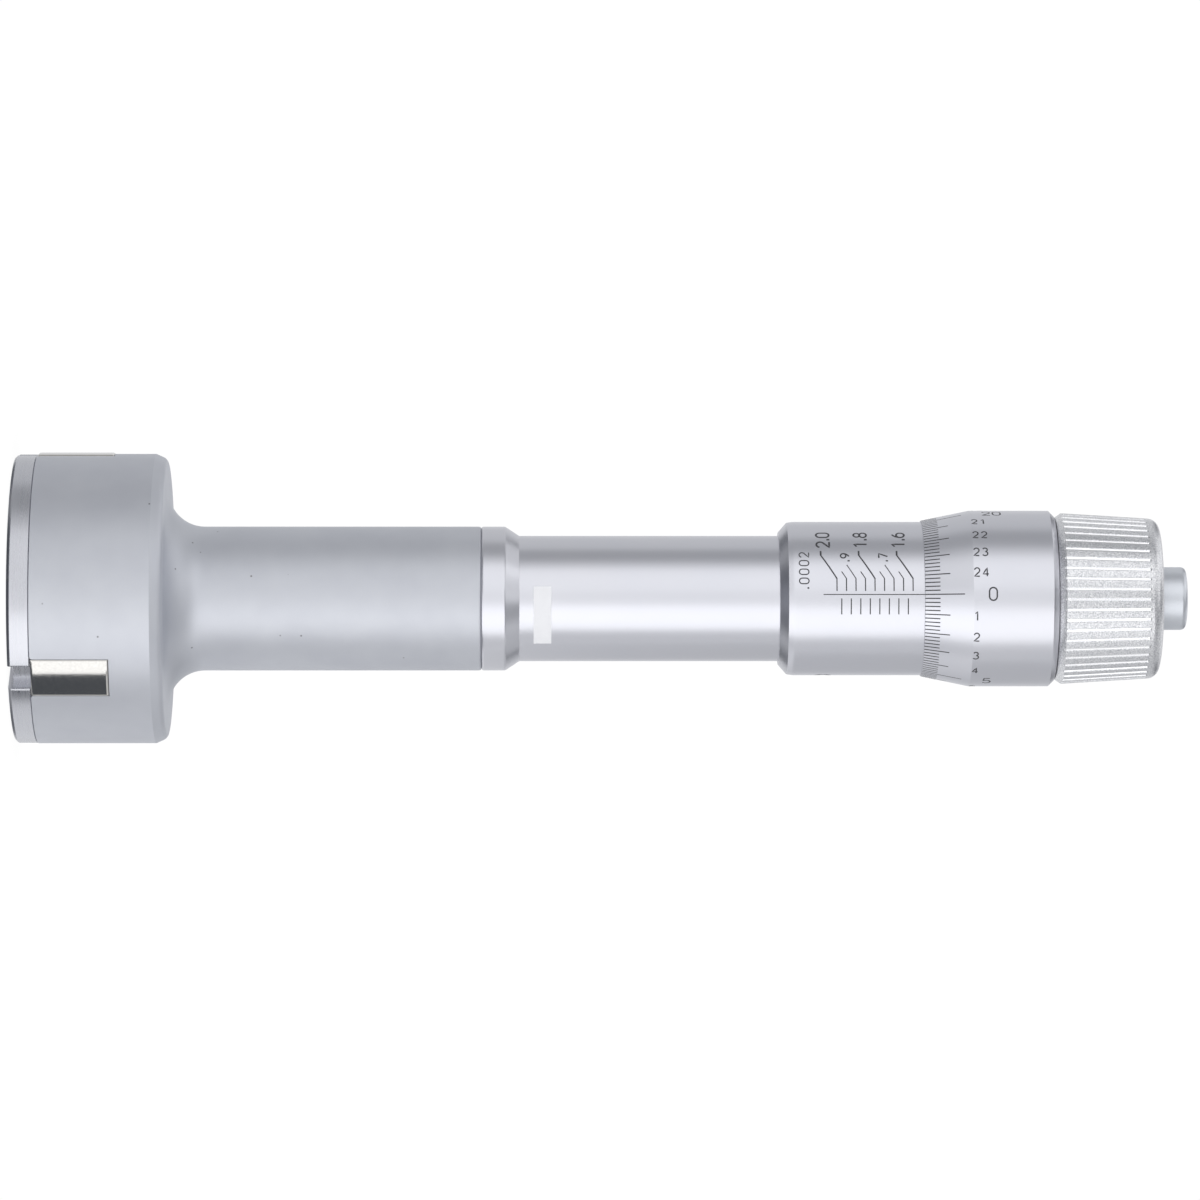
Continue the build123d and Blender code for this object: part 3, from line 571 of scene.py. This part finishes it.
collar_radius, spigot_front, nut_end = reach("barrel")
barrel = lathe(outline(
    (barrel_bore, spigot_front),
    (barrel_radius, spigot_front),
    (barrel_radius, neck_end),
    (collar_radius, neck_end, joint_edge),
    (collar_radius, collar_end, collar_rounding),
    (barrel_radius, taper_end, taper_rounding),
    (barrel_radius, nut_shoulder),
    (nut_radius, nut_shoulder),
    (nut_radius, nut_end),
    (thread_bore, nut_end),
    (thread_bore, nut_front),
    (barrel_bore, nut_front),
))
barrel = cut_round(barrel, nut_slot_angles, [
    (nut_slot_inner, nut_slot_start), (nut_slot_outer, nut_slot_start),
    (nut_slot_outer, nut_end + margin), (nut_slot_inner, nut_end + margin),
], radial_place, -nut_slot_half_width, nut_slot_half_width)
piece(barrel, "barrel_turned", "head_frame", satin_chrome, "satin_chrome", "barrel")

# Blank band: a strip of matt white vinyl film, cut to size and stuck part of the way round the
# barrel just behind the collar.
band_radius, band_thickness = 8.47, 0.10
band_front, band_back = 69.62, 72.0
band_start, band_turn, band_steps = -97.9, 55.6, 40

# Vinyl film is near white, with a soft sheen and a faint mottle.
white_vinyl, tree, place = finish("matt_white_vinyl_film")
mottle = node(tree, "TexNoise", {}, {"Vector": place, "Scale": 1100.0, "Detail": 3.0})
tone = node(tree, "Mix", {"data_type": "RGBA"}, {
    0: mottle.outputs["Fac"], 6: linear("F4F4F7"), 7: linear("FBFBFD")})
surface(tree, tone.outputs[2], 0.55, (mottle.outputs["Fac"], 0.2, 0.00002), metallic=0.0)

band = bmesh.new()
corners = [(band_radius, band_front), (band_radius + band_thickness, band_front),
           (band_radius + band_thickness, band_back), (band_radius, band_back)]
verts = [band.verts.new((r, 0, z)) for r, z in corners]
edges = [band.edges.new(pair) for pair in zip(verts, verts[1:] + verts[:1])]
bmesh.ops.rotate(band, cent=(0, 0, 0), matrix=Matrix.Rotation(radians(band_start), 3, "Z"),
                 verts=verts)
bmesh.ops.spin(band, geom=verts + edges, cent=(0, 0, 0), axis=(0, 0, 1), angle=radians(band_turn),
               steps=band_steps)
bmesh.ops.holes_fill(band, edges=band.edges)
bmesh.ops.recalc_face_normals(band, faces=band.faces)
piece(band, "blank_band_vinyl", "head_frame", white_vinyl, "white_film", "blank_band")

# Scale sleeve: a thin satin chromed tube over the barrel, turned with a pin spanner to set
# the zero. Its lines and numbers are engraved and filled with dark paint.
sleeve_bore, sleeve_face, sleeve_end_rounding = 8.47, 8.95, 0.08
sleeve_bevel_radius, sleeve_bevel_end, sleeve_bevel_rounding = 10.22, 103.72, 0.03
sleeve_shoulder, sleeve_shoulder_rounding = 104.5, 3.0
spanner_hole_radius, spanner_hole_height, spanner_hole_reach = 1.15, 108.6, (8, 12)
paint_stand, paint_depth = 0.004, 0.03
stroke_part, bow_part = 0.4, 24
index_angle, index_line, index_line_width = -90, (108.3, 123.0), 0.12
first_mark, mark_step, mark_width = 110.1, 1.27, 0.15
upper_mark, lower_mark = (0.47, 2.18), (-0.52, -2.67)
upper_marks, lower_marks, numbered_marks = 9, 8, 4
slant_start, slant_rise = 2.14, 0.02
slants = ((5.58, 2.10), (3.15, 0.63), (4.11, 1.20), (3.15, 0.63))
numbered_slant_width, slant_width = 0.19, 0.13
leader_overlap, leader_end, leader_width = 0.03, 6.31, 0.24
letter_width, point_width, point_weight = 0.6, 0.12, 1.5
# Each number's base line, height, first and last arc, and stroke width.
sleeve_numbers = (
    ("2.0", 109.18, 1.72, 6.92, 9.93, 0.26),
    ("1.8", 114.20, 1.72, 6.92, 9.93, 0.26),
    ("1.6", 119.28, 1.72, 6.92, 9.93, 0.26),
    (".9", 111.80, 1.16, 4.66, 5.86, 0.20),
    (".7", 116.92, 1.16, 4.66, 5.86, 0.20),
    (".0002", 106.38, 1.28, 0.80, 6.03, 0.16),
)

# The paint is a flat charcoal that fills the engraving and stands a hair above the metal.
engraving_paint, tree, place = finish("charcoal_engraving_paint")
flake = node(tree, "TexNoise", {}, {"Vector": place, "Scale": 5200.0, "Detail": 2.0})
tone = node(tree, "Mix", {"data_type": "RGBA"}, {
    0: flake.outputs["Fac"], 6: linear("343437"), 7: linear("48484C")})
surface(tree, tone.outputs[2], 0.6, metallic=0.0)


def stroke(bm, path, width, wrap):
    """A flat stroke of paint along a path of (arc, height) points, wrapped on the metal."""
    fine = [Vector(path[0])]
    for end in path[1:]:
        start, end = fine[-1], Vector(end)
        parts = max(1, round((end - start).length / stroke_part))
        fine += [start.lerp(end, k / parts) for k in range(1, parts + 1)]
    last = len(fine) - 1
    strip = bmesh.ops.create_grid(bm, x_segments=last, y_segments=1, size=0.5)["verts"]
    for vert in strip:
        i = round((vert.co.x + 0.5) * last)
        ahead = (fine[min(i + 1, last)] - fine[max(i - 1, 0)]).normalized()
        side = width / 2 if vert.co.y > 0 else -width / 2
        vert.co = wrap(fine[i] + Vector((-ahead.y, ahead.x)) * side)


def bow(x, y, across, up, start, end):
    """Points along part of an ellipse, for the curves of a number."""
    parts = max(4, round(abs(end - start) / bow_part))
    turns = [radians(start + (end - start) * k / parts) for k in range(parts + 1)]
    return [(x + across * cos(t), y + up * sin(t)) for t in turns]


six = [bow(0.3, 0.31, 0.3, 0.31, 0, 360), bow(0.62, 0.31, 0.62, 0.69, 112, 180)]
numerals = {
    "0": [bow(0.3, 0.7, 0.3, 0.3, 0, 180) + bow(0.3, 0.3, 0.3, 0.3, 180, 360) + [(0.6, 0.7)]],
    "1": [[(0.1, 0.78), (0.34, 1), (0.34, 0)]],
    "2": [bow(0.3, 0.7, 0.29, 0.3, 168, -38) + [(0, 0), (0.6, 0)]],
    "3": [bow(0.29, 0.76, 0.26, 0.24, 155, -80) + bow(0.28, 0.27, 0.31, 0.27, 82, -150)],
    "4": [[(0.46, 0), (0.46, 1), (0, 0.27), (0.64, 0.27)]],
    "5": [[(0.55, 1), (0.1, 1), (0.05, 0.54)] + bow(0.28, 0.32, 0.31, 0.32, 128, -150)],
    "6": six,
    "7": [[(0, 1), (0.6, 1), (0.2, 0)]],
    "8": [bow(0.3, 0.76, 0.25, 0.24, 0, 360), bow(0.3, 0.27, 0.3, 0.27, 0, 360)],
    "9": [[(0.6 - x, 1 - y) for x, y in line] for line in six],
    ".": [[(-0.03, 0.08), (0.15, 0.08)]],
}


def engrave(bm, text, height, start, end, width, wrap):
    """A number between two stations along its line, laid on the metal by wrap((along, up))."""
    spans = [height * (point_width if letter == "." else letter_width) for letter in text]
    gap = (end - start - sum(spans)) / max(1, len(text) - 1)
    for letter, span in zip(text, spans):
        for line in numerals[letter]:
            stroke(bm, [(start + x * height, y * height) for x, y in line],
                   width * point_weight if letter == "." else width, wrap)
        start += span + gap


def set_paint(bm):
    """Faces every stroke outwards and gives it its depth into the metal."""
    bm.normal_update()
    inward = [f for f in bm.faces
              if f.normal.dot(f.calc_center_median() * Vector((1, 1, 0))) < 0]
    bmesh.ops.reverse_faces(bm, faces=inward)
    far = bmesh.ops.extrude_face_region(bm, geom=bm.faces[:], use_keep_orig=True)["geom"]
    sunk = [v for v in far if isinstance(v, bmesh.types.BMVert)]
    for vert in sunk:
        flat = Vector((vert.co.x, vert.co.y, 0))
        vert.co -= flat.normalized() * paint_depth
    bmesh.ops.recalc_face_normals(bm, faces=bm.faces)


sleeve_radius, sleeve_front, sleeve_end = reach("scale_sleeve")
sleeve = lathe(outline(
    (sleeve_bore, sleeve_front),
    (sleeve_face, sleeve_front, sleeve_end_rounding),
    (sleeve_bevel_radius, sleeve_bevel_end, sleeve_bevel_rounding),
    (sleeve_radius, sleeve_shoulder, sleeve_shoulder_rounding),
    (sleeve_radius, sleeve_end, sleeve_end_rounding),
    (sleeve_bore, sleeve_end),
))
spanner_hole = bmesh.new()
prism(spanner_hole, circle(spanner_hole_radius), outward_place(0, spanner_hole_height),
      *spanner_hole_reach)
sleeve = cut(sleeve, spanner_hole)
piece(sleeve, "scale_sleeve_turned", "scale_sleeve", satin_chrome, "satin_chrome_engraved",
      "scale_sleeve")


def on_sleeve(point):
    """An (arc, height) point on the sleeve; arcs run up from the index line, towards -X."""
    turn = radians(index_angle) - point[0] / sleeve_radius
    stand = sleeve_radius + paint_stand
    return Vector((stand * cos(turn), stand * sin(turn), point[1]))


def sleeve_text(base):
    """Writes up the sleeve from a base line, with the tops of the numbers to the nose."""
    return lambda point: on_sleeve((point[0], base - point[1]))


marks = bmesh.new()
stroke(marks, [(0, z) for z in index_line], index_line_width, on_sleeve)
for k in range(upper_marks):
    z = first_mark + mark_step * k
    bend, drop = slants[k % numbered_marks]
    numbered = k % numbered_marks == 0
    stroke(marks, [(arc, z) for arc in upper_mark], mark_width, on_sleeve)
    stroke(marks, [(slant_start, z + slant_rise), (bend, z - drop)],
           numbered_slant_width if numbered else slant_width, on_sleeve)
    if numbered:
        stroke(marks, [(bend - leader_overlap, z - drop), (leader_end, z - drop)], leader_width,
               on_sleeve)
for k in range(lower_marks):
    z = first_mark + mark_step * (k + 0.5)
    stroke(marks, [(arc, z) for arc in lower_mark], mark_width, on_sleeve)
for text, base, height, start, end, width in sleeve_numbers:
    engrave(marks, text, height, start, end, width, sleeve_text(base))
set_paint(marks)
piece(marks, "scale_sleeve_marks", "scale_sleeve", engraving_paint, "satin_chrome_engraved")

# Thimble: a steel turning whose bevelled skirt turns over the sleeve, with a cup behind that
# seats on the spindle's taper. It is satin chromed, with 125 engraved divisions and their
# numbers.
thimble_bore, thimble_lip, thimble_lip_rounding = 10.40, 10.50, 0.05
bevel_end, bevel_rounding = 128.3, 0.3
rear_bevel, rear_bevel_rounding = 0.72, 0.08
skirt_end, thimble_rear = 138.93, 139.75
cup_radius, cup_bore, cup_floor = 9.6, 8.7, 147.13
seat_rear, seat_front = 2.82, 3.03
thimble_sides = 300
divisions, small_every, large_every = 125, 5, 25
division_start, division_width = 0.03, 0.15
short_end, middle_end, long_end = 123.88, 125.2, 127.1
small_height, small_start, small_gap, small_width = 1.18, 128.38, 0.38, 0.18
large_height, large_start, large_gap, large_width = 1.72, 129.95, 0.22, 0.20
zero_start = 130.35

thimble_radius, thimble_front, cup_rear = reach("thimble")
thimble = lathe(outline(
    (thimble_bore, thimble_front),
    (thimble_lip, thimble_front, thimble_lip_rounding),
    (thimble_radius, bevel_end, bevel_rounding),
    (thimble_radius, thimble_rear - rear_bevel, rear_bevel_rounding),
    (thimble_radius - rear_bevel, thimble_rear, rear_bevel_rounding),
    (cup_radius, thimble_rear),
    (cup_radius, cup_rear),
    (seat_rear, cup_rear),
    (seat_front, cup_floor),
    (cup_bore, cup_floor),
    (cup_bore, skirt_end),
    (thimble_bore, skirt_end),
), thimble_sides)
piece(thimble, "thimble_turned", "thimble", satin_chrome, "thimble_chrome_engraved", "thimble")


def on_thimble(angle):
    """Wraps (along, up) points on the thimble's bevel and skirt round one angle."""
    def wrap(point):
        slope = (thimble_radius - thimble_lip) / (bevel_end - thimble_front)
        here = min(thimble_radius, thimble_lip + slope * (point[0] - thimble_front))
        turn = radians(angle) - point[1] / here
        stand = here + paint_stand
        return Vector((stand * cos(turn), stand * sin(turn), point[0]))
    return wrap


def division(bm, angle, end):
    """A short straight mark along the thimble's bevel, from its lip."""
    wrap = on_thimble(angle)
    start, half = thimble_front + division_start, division_width / 2
    corners = ((start, -half), (end, -half), (end, half), (start, half))
    bm.faces.new([bm.verts.new(wrap(corner)) for corner in corners])


def thimble_text(angle, height):
    """Writes along the thimble, centred on the mark at that angle."""
    wrap = on_thimble(angle)
    return lambda point: wrap((point[0], point[1] - height / 2))


marks = bmesh.new()
for i in range(divisions):
    end = long_end if i % large_every == 0 else middle_end if i % small_every == 0 else short_end
    division(marks, index_angle + 360 / divisions * i, end)
for i in range(0, divisions, small_every):
    text = str(i // small_every)
    if i % large_every == 0:
        height, gap, width = large_height, large_gap, large_width
        start = large_start if i else zero_start
    else:
        height, gap, width, start = small_height, small_gap, small_width, small_start
    end = start + height * letter_width + (len(text) - 1) * height * (letter_width + gap)
    engrave(marks, text, height, start, end, width,
            thimble_text(index_angle + 360 / divisions * i, height))
set_paint(marks)
piece(marks, "thimble_marks", "thimble", engraving_paint, "thimble_chrome_engraved")

# Ratchet spring: a flat coil of thin music wire, wound cold. It stands under the end of the
# knob and presses the click ring's teeth into the base.
ratchet_radius, ratchet_wire, ratchet_turns = 6.5, 0.25, 2
ratchet_low, ratchet_high = 151.35, 152.55
spring = piece(coil(ratchet_radius, ratchet_wire, ratchet_turns, ratchet_low, ratchet_high),
               "ratchet_spring_wound", "ratchet_knob", music_wire, "spring_steel", "ratchet_spring")
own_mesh(spring)

# Ratchet knob: a tapered steel cap over the thimble's cup, blasted coarser than the rest and
# chromed. Its side is milled with fifty flat-bottomed grooves that stop short of the rounded
# rear corner.
knob_bore, knob_hole, knob_floor = 9.65, 2.2, 152.6
knob_face, knob_bevel_end, knob_bevel_rounding = 10.9, 140.8, 0.06
knob_side_end, knob_corner, knob_sides = 10.72, 1.5, 300
grooves, groove_depth, groove_end, groove_run_in = 50, 0.18, 152.2, 1.5
groove_half_width, groove_floor_half_width, groove_end_sides = 0.28, 0.11, 10
keyway_angles, keyway_half_width = (0, 90, 180, 270), 1.05
keyway_inner, keyway_outer = 9, 10.6

knob_radius, knob_front, knob_rear = reach("ratchet_knob")
side_slope = (knob_radius - knob_side_end) / (knob_rear - knob_bevel_end)

# The coarse blast leaves facets just under 0.2 mm across; the light that each one catches is
# painted into the colour as a dense sparkle of white and grey over the bright metal. The grooves
# are milled after it, so their floors are smooth and glossier, and their shine is painted too,
# as the brightest colour between the frosted lands. The frost fades out 0.05 to 0.1 mm below
# the lands.
frosted_chrome, tree, place = finish("coarse_frosted_chrome")
split = node(tree, "SeparateXYZ", {}, {"Vector": place})
across = node(tree, "CombineXYZ", {}, {"X": split.outputs["X"], "Y": split.outputs["Y"]})
from_axis = node(tree, "VectorMath", {"operation": "LENGTH"}, {"Vector": across.outputs["Vector"]})
untapered = node(tree, "Math", {"operation": "MULTIPLY_ADD"}, {
    0: split.outputs["Z"], 1: side_slope, 2: from_axis.outputs["Value"]})
untapered_side = (knob_radius + side_slope * knob_bevel_end) * mm
land_part = node(tree, "MapRange", {}, {
    "Value": untapered.outputs[0],
    "From Min": untapered_side - 0.10 * mm, "From Max": untapered_side - 0.05 * mm})
front_part = node(tree, "MapRange", {}, {
    "Value": split.outputs["Z"],
    "From Min": knob_bevel_end * mm, "From Max": (knob_bevel_end - 0.1) * mm})
rear_part = node(tree, "MapRange", {}, {
    "Value": split.outputs["Z"],
    "From Min": groove_end * mm, "From Max": (groove_end + 0.2) * mm})
ends = node(tree, "Math", {"operation": "MAXIMUM"}, {
    0: front_part.outputs["Result"], 1: rear_part.outputs["Result"]})
frost = node(tree, "Math", {"operation": "MAXIMUM"}, {
    0: land_part.outputs["Result"], 1: ends.outputs[0]})
milled = node(tree, "Math", {"operation": "SUBTRACT"}, {0: 1.0, 1: frost.outputs[0]})
grit = node(tree, "TexVoronoi", {"feature": "F1"}, {"Vector": place, "Scale": 5600.0})
grain = node(tree, "TexNoise", {}, {
    "Vector": place, "Scale": 5600.0, "Detail": 3.0, "Roughness": 0.6})
pitting = node(tree, "Math", {"operation": "ADD"}, {
    0: grit.outputs["Distance"], 1: grain.outputs["Fac"]})
height = node(tree, "Math", {"operation": "MULTIPLY"}, {0: pitting.outputs[0], 1: frost.outputs[0]})
# Painted glints and shine: random facets and the whole groove floors take the brightest colour.
painted_glints = node(tree, "MapRange", {}, {
    "Value": grain.outputs["Fac"], "From Min": 0.36, "From Max": 0.64})
painted_glint_and_shine = node(tree, "Math", {"operation": "MAXIMUM"}, {
    0: painted_glints.outputs["Result"], 1: milled.outputs[0]})
tone = node(tree, "Mix", {"data_type": "RGBA"}, {
    0: painted_glint_and_shine.outputs[0], 6: linear("C2C3C7"), 7: linear("F6F6F7")})
gloss = node(tree, "MapRange", {}, {"Value": frost.outputs[0], "To Min": 0.16, "To Max": 0.30})
surface(tree, tone.outputs[2], gloss.outputs["Result"], (height.outputs[0], 0.5, 0.00004))

knob = lathe(outline(
    (knob_bore, knob_front),
    (knob_face, knob_front),
    (knob_radius, knob_bevel_end, knob_bevel_rounding),
    (knob_side_end, knob_rear, knob_corner),
    (knob_hole, knob_rear),
    (knob_hole, knob_floor),
    (knob_bore, knob_floor),
), knob_sides)
knob = cut_round(knob, keyway_angles, [
    (keyway_inner, cup_rear), (keyway_outer, cup_rear),
    (keyway_outer, knob_floor), (keyway_inner, knob_floor),
], radial_place, -keyway_half_width, keyway_half_width)
groove_mouth_half_width = 2 * groove_half_width - groove_floor_half_width
cutters = bmesh.new()
for i in range(grooves):
    points = []
    for station in (knob_front - groove_run_in, groove_end - groove_half_width):
        side = knob_radius - side_slope * (station - knob_bevel_end)
        for half_width, stand in ((groove_mouth_half_width, groove_depth),
                                  (groove_floor_half_width, -groove_depth)):
            for k in range(groove_end_sides):
                turn = 2 * pi * k / groove_end_sides
                points.append(cutters.verts.new((side + stand, half_width * sin(turn),
                                                 station + half_width * cos(turn))))
    bmesh.ops.convex_hull(cutters, input=points)
    bmesh.ops.rotate(cutters, cent=(0, 0, 0), matrix=Matrix.Rotation(2 * pi * i / grooves, 3, "Z"),
                     verts=points)
stray = [v for v in cutters.verts if not v.link_faces]
bmesh.ops.delete(cutters, geom=stray, context="VERTS")
bmesh.ops.recalc_face_normals(cutters, faces=cutters.faces)
knob = cut(knob, cutters)
piece(knob, "ratchet_knob_grooved", "ratchet_knob", frosted_chrome, "frosted_chrome",
      "ratchet_knob")

# Ratchet screw: turned steel, satin chromed, screwed into the end of the spindle. Its round
# head is the small button that holds the knob on.
shank_radius, thread_radius = 1.9, 1.5
button_gap, button_front_edge, button_rear_edge, button_sides = 0.05, 0.12, 0.7, 144

# The button's chrome lies over a coarser blast than the barrel's: a duller, bluer grey that
# spreads the highlights.
button_chrome, tree, place = finish("dull_satin_chrome")
grain = node(tree, "TexNoise", {}, {
    "Vector": place, "Scale": 6500.0, "Detail": 2.0, "Roughness": 0.6})
tone = node(tree, "Mix", {"data_type": "RGBA"}, {
    0: grain.outputs["Fac"], 6: linear("D2D5DB"), 7: linear("DCDFE4")})
gloss = node(tree, "MapRange", {}, {"Value": grain.outputs["Fac"], "To Min": 0.36, "To Max": 0.44})
surface(tree, tone.outputs[2], gloss.outputs["Result"], (grain.outputs["Fac"], 0.15, 0.00002))

button_radius, screw_front, button_rear = reach("ratchet_screw")
button_front = knob_rear + button_gap
button = lathe(outline(
    (0, screw_front),
    (thread_radius, screw_front),
    (thread_radius, cup_rear),
    (shank_radius, cup_rear),
    (shank_radius, button_front),
    (button_radius, button_front, button_front_edge),
    (button_radius, button_rear, button_rear_edge),
    (0, button_rear),
), button_sides)
piece(button, "ratchet_screw_turned", "thimble", button_chrome, "button_chrome", "ratchet_screw")

# Studio: a white sweep far behind the instrument on every side, with a hint of painted shade
# where the nose meets the floor. Only the camera sees it.
sweep_floor, sweep_radius, sweep_cove, sweep_height, sweep_sides = -0.02, 4000.0, 1500.0, 4500.0, 64
sweep_white, tree, place = finish("white_paper_sweep")
# Painted shade: ambient occlusion dims the floor's glow next to the nose.
shade = node(tree, "AmbientOcclusion", {"samples": 8}, {"Distance": 0.008})
painted_contact_shade = node(tree, "MapRange", {}, {
    "Value": shade.outputs["AO"], "From Min": 0.3, "To Min": 0.97, "To Max": 1.02})
glow = node(tree, "Emission", {}, {"Color": linear("FFFFFF"), "Strength": painted_contact_shade.outputs["Result"]})
node(tree, "OutputMaterial", {}, {"Surface": glow.outputs["Emission"]})
bm = lathe(outline(
    (0, sweep_floor),
    (sweep_radius, sweep_floor, sweep_cove),
    (sweep_radius, sweep_height, sweep_cove),
    (0, sweep_height),
), sweep_sides)
bmesh.ops.reverse_faces(bm, faces=bm.faces)
bmesh.ops.scale(bm, vec=(mm, mm, mm), verts=bm.verts)
mesh = bpy.data.meshes.new("white_sweep")
bm.to_mesh(mesh)
bm.free()
mesh.materials.append(sweep_white)
mesh.shade_smooth()
sweep = bpy.data.objects.new("white_sweep", mesh)
bpy.context.scene.collection.objects.link(sweep)
for ray in ("glossy", "diffuse", "transmission", "shadow"):
    setattr(sweep, "visible_" + ray, False)

# Lights: long softboxes that run beside the instrument, as in a product studio. Each one is
# given by the bearings that it spans round the axis, counted upwards from the camera.
camera_bearing = -87.0
softbox_distance, panel_distance, panel_height = 0.5, 0.5, 0.08


def hang(name, out, centre, wide, tall, radiance, shape="RECTANGLE"):
    """An area light that faces the instrument, as bright as it is seen, whatever its size."""
    data = bpy.data.lights.new(name, "AREA")
    data.shape, data.size, data.size_y = shape, wide, tall
    data.energy = pi * wide * tall * radiance * (pi / 4 if shape == "DISK" else 1)
    lamp = bpy.data.objects.new(name, data)
    across = Vector((0, 0, 1)).cross(out).normalized()
    turn = Matrix((across, out.cross(across), out)).transposed().to_4x4()
    lamp.matrix_world = Matrix.Translation(centre) @ turn
    lamp.visible_camera = False
    bpy.context.scene.collection.objects.link(lamp)


def towards(bearing, lift=0):
    """The direction at a bearing from the camera and a lift above level."""
    turn, lift = radians(camera_bearing - bearing), radians(lift)
    return Vector((cos(turn) * cos(lift), sin(turn) * cos(lift), sin(lift)))


def softbox(name, bearings, heights, radiance, distance=softbox_distance):
    """A strip that stands beside the instrument between two bearings."""
    out = towards(sum(bearings) / 2)
    wide = 2 * distance * tan(radians(abs(bearings[1] - bearings[0]) / 2))
    centre = out * distance + Vector((0, 0, sum(heights) / 2))
    hang(name, out, centre, wide, heights[1] - heights[0], radiance)


def end_ring(name, lift, across, radiances):
    """Five round panels at one end of the instrument, from the upper front to the lower."""
    for k, radiance in enumerate(radiances):
        out = towards(36 + 72 * k, lift)
        hang(f"{name}_{k}", out, out * panel_distance + Vector((0, 0, panel_height)),
             across, across, radiance, "DISK")


softbox("key_strip", (-60, -12), (-0.28, 0.30), 1.5)
softbox("front_strip", (-12, 12), (-0.28, 0.27), 1.02)
softbox("fill_strip", (12, 58), (-0.09, 0.34), 1.17)
softbox("fill_edge", (58, 70), (-0.09, 0.34), 0.7)
softbox("upper_gap", (70, 100), (-0.19, 0.34), 0.33)
softbox("upper_rear", (100, 150), (-0.19, 0.34), 0.62)
softbox("back_strip", (150, 210), (-0.19, 0.34), 0.7)
softbox("lower_rear_nose", (-150, -86), (-0.19, 0.06), 0.82)
softbox("lower_rear_knob", (-150, -86), (0.06, 0.34), 0.52)
softbox("lower_gap", (-86, -60), (0.022, 0.25), 0.64, 0.2)
end_ring("knob_end", 54, 0.48, (0.8, 0.72, 0.65, 0.5, 0.3))
end_ring("nose_end", -44, 0.34, (0.5, 0.5, 0.65, 0.7, 0.5))

world = bpy.data.worlds.new("studio_air")
bpy.context.scene.world = world
world.use_nodes = True
world.node_tree.nodes["Background"].inputs["Color"].default_value = linear("B9C0CC")
world.node_tree.nodes["Background"].inputs["Strength"].default_value = 0.2
bpy.context.scene.view_settings.view_transform = "Standard"

# Camera: level with the barrel and far off, on a long lens, with the instrument lying across
# the picture and its nose to the left.
camera_distance, camera_height = 0.877, 0.0678
target = Vector((0.000196, 0, 0.0786))
focal_length, sensor_width = 195, 36
data = bpy.data.cameras.new("camera")
data.lens, data.sensor_width = focal_length, sensor_width
camera = bpy.data.objects.new("camera", data)
c, s = cos(radians(camera_bearing)), sin(radians(camera_bearing))
place = Vector((camera_distance * c, camera_distance * s, camera_height))
ahead = (target - place).normalized()
right = (Vector((0, 0, 1)) - ahead * ahead.z).normalized()
up = (-ahead).cross(right)
camera.matrix_world = Matrix.Translation(place) @ Matrix((right, up, -ahead)).transposed().to_4x4()
bpy.context.scene.collection.objects.link(camera)
bpy.context.scene.camera = camera
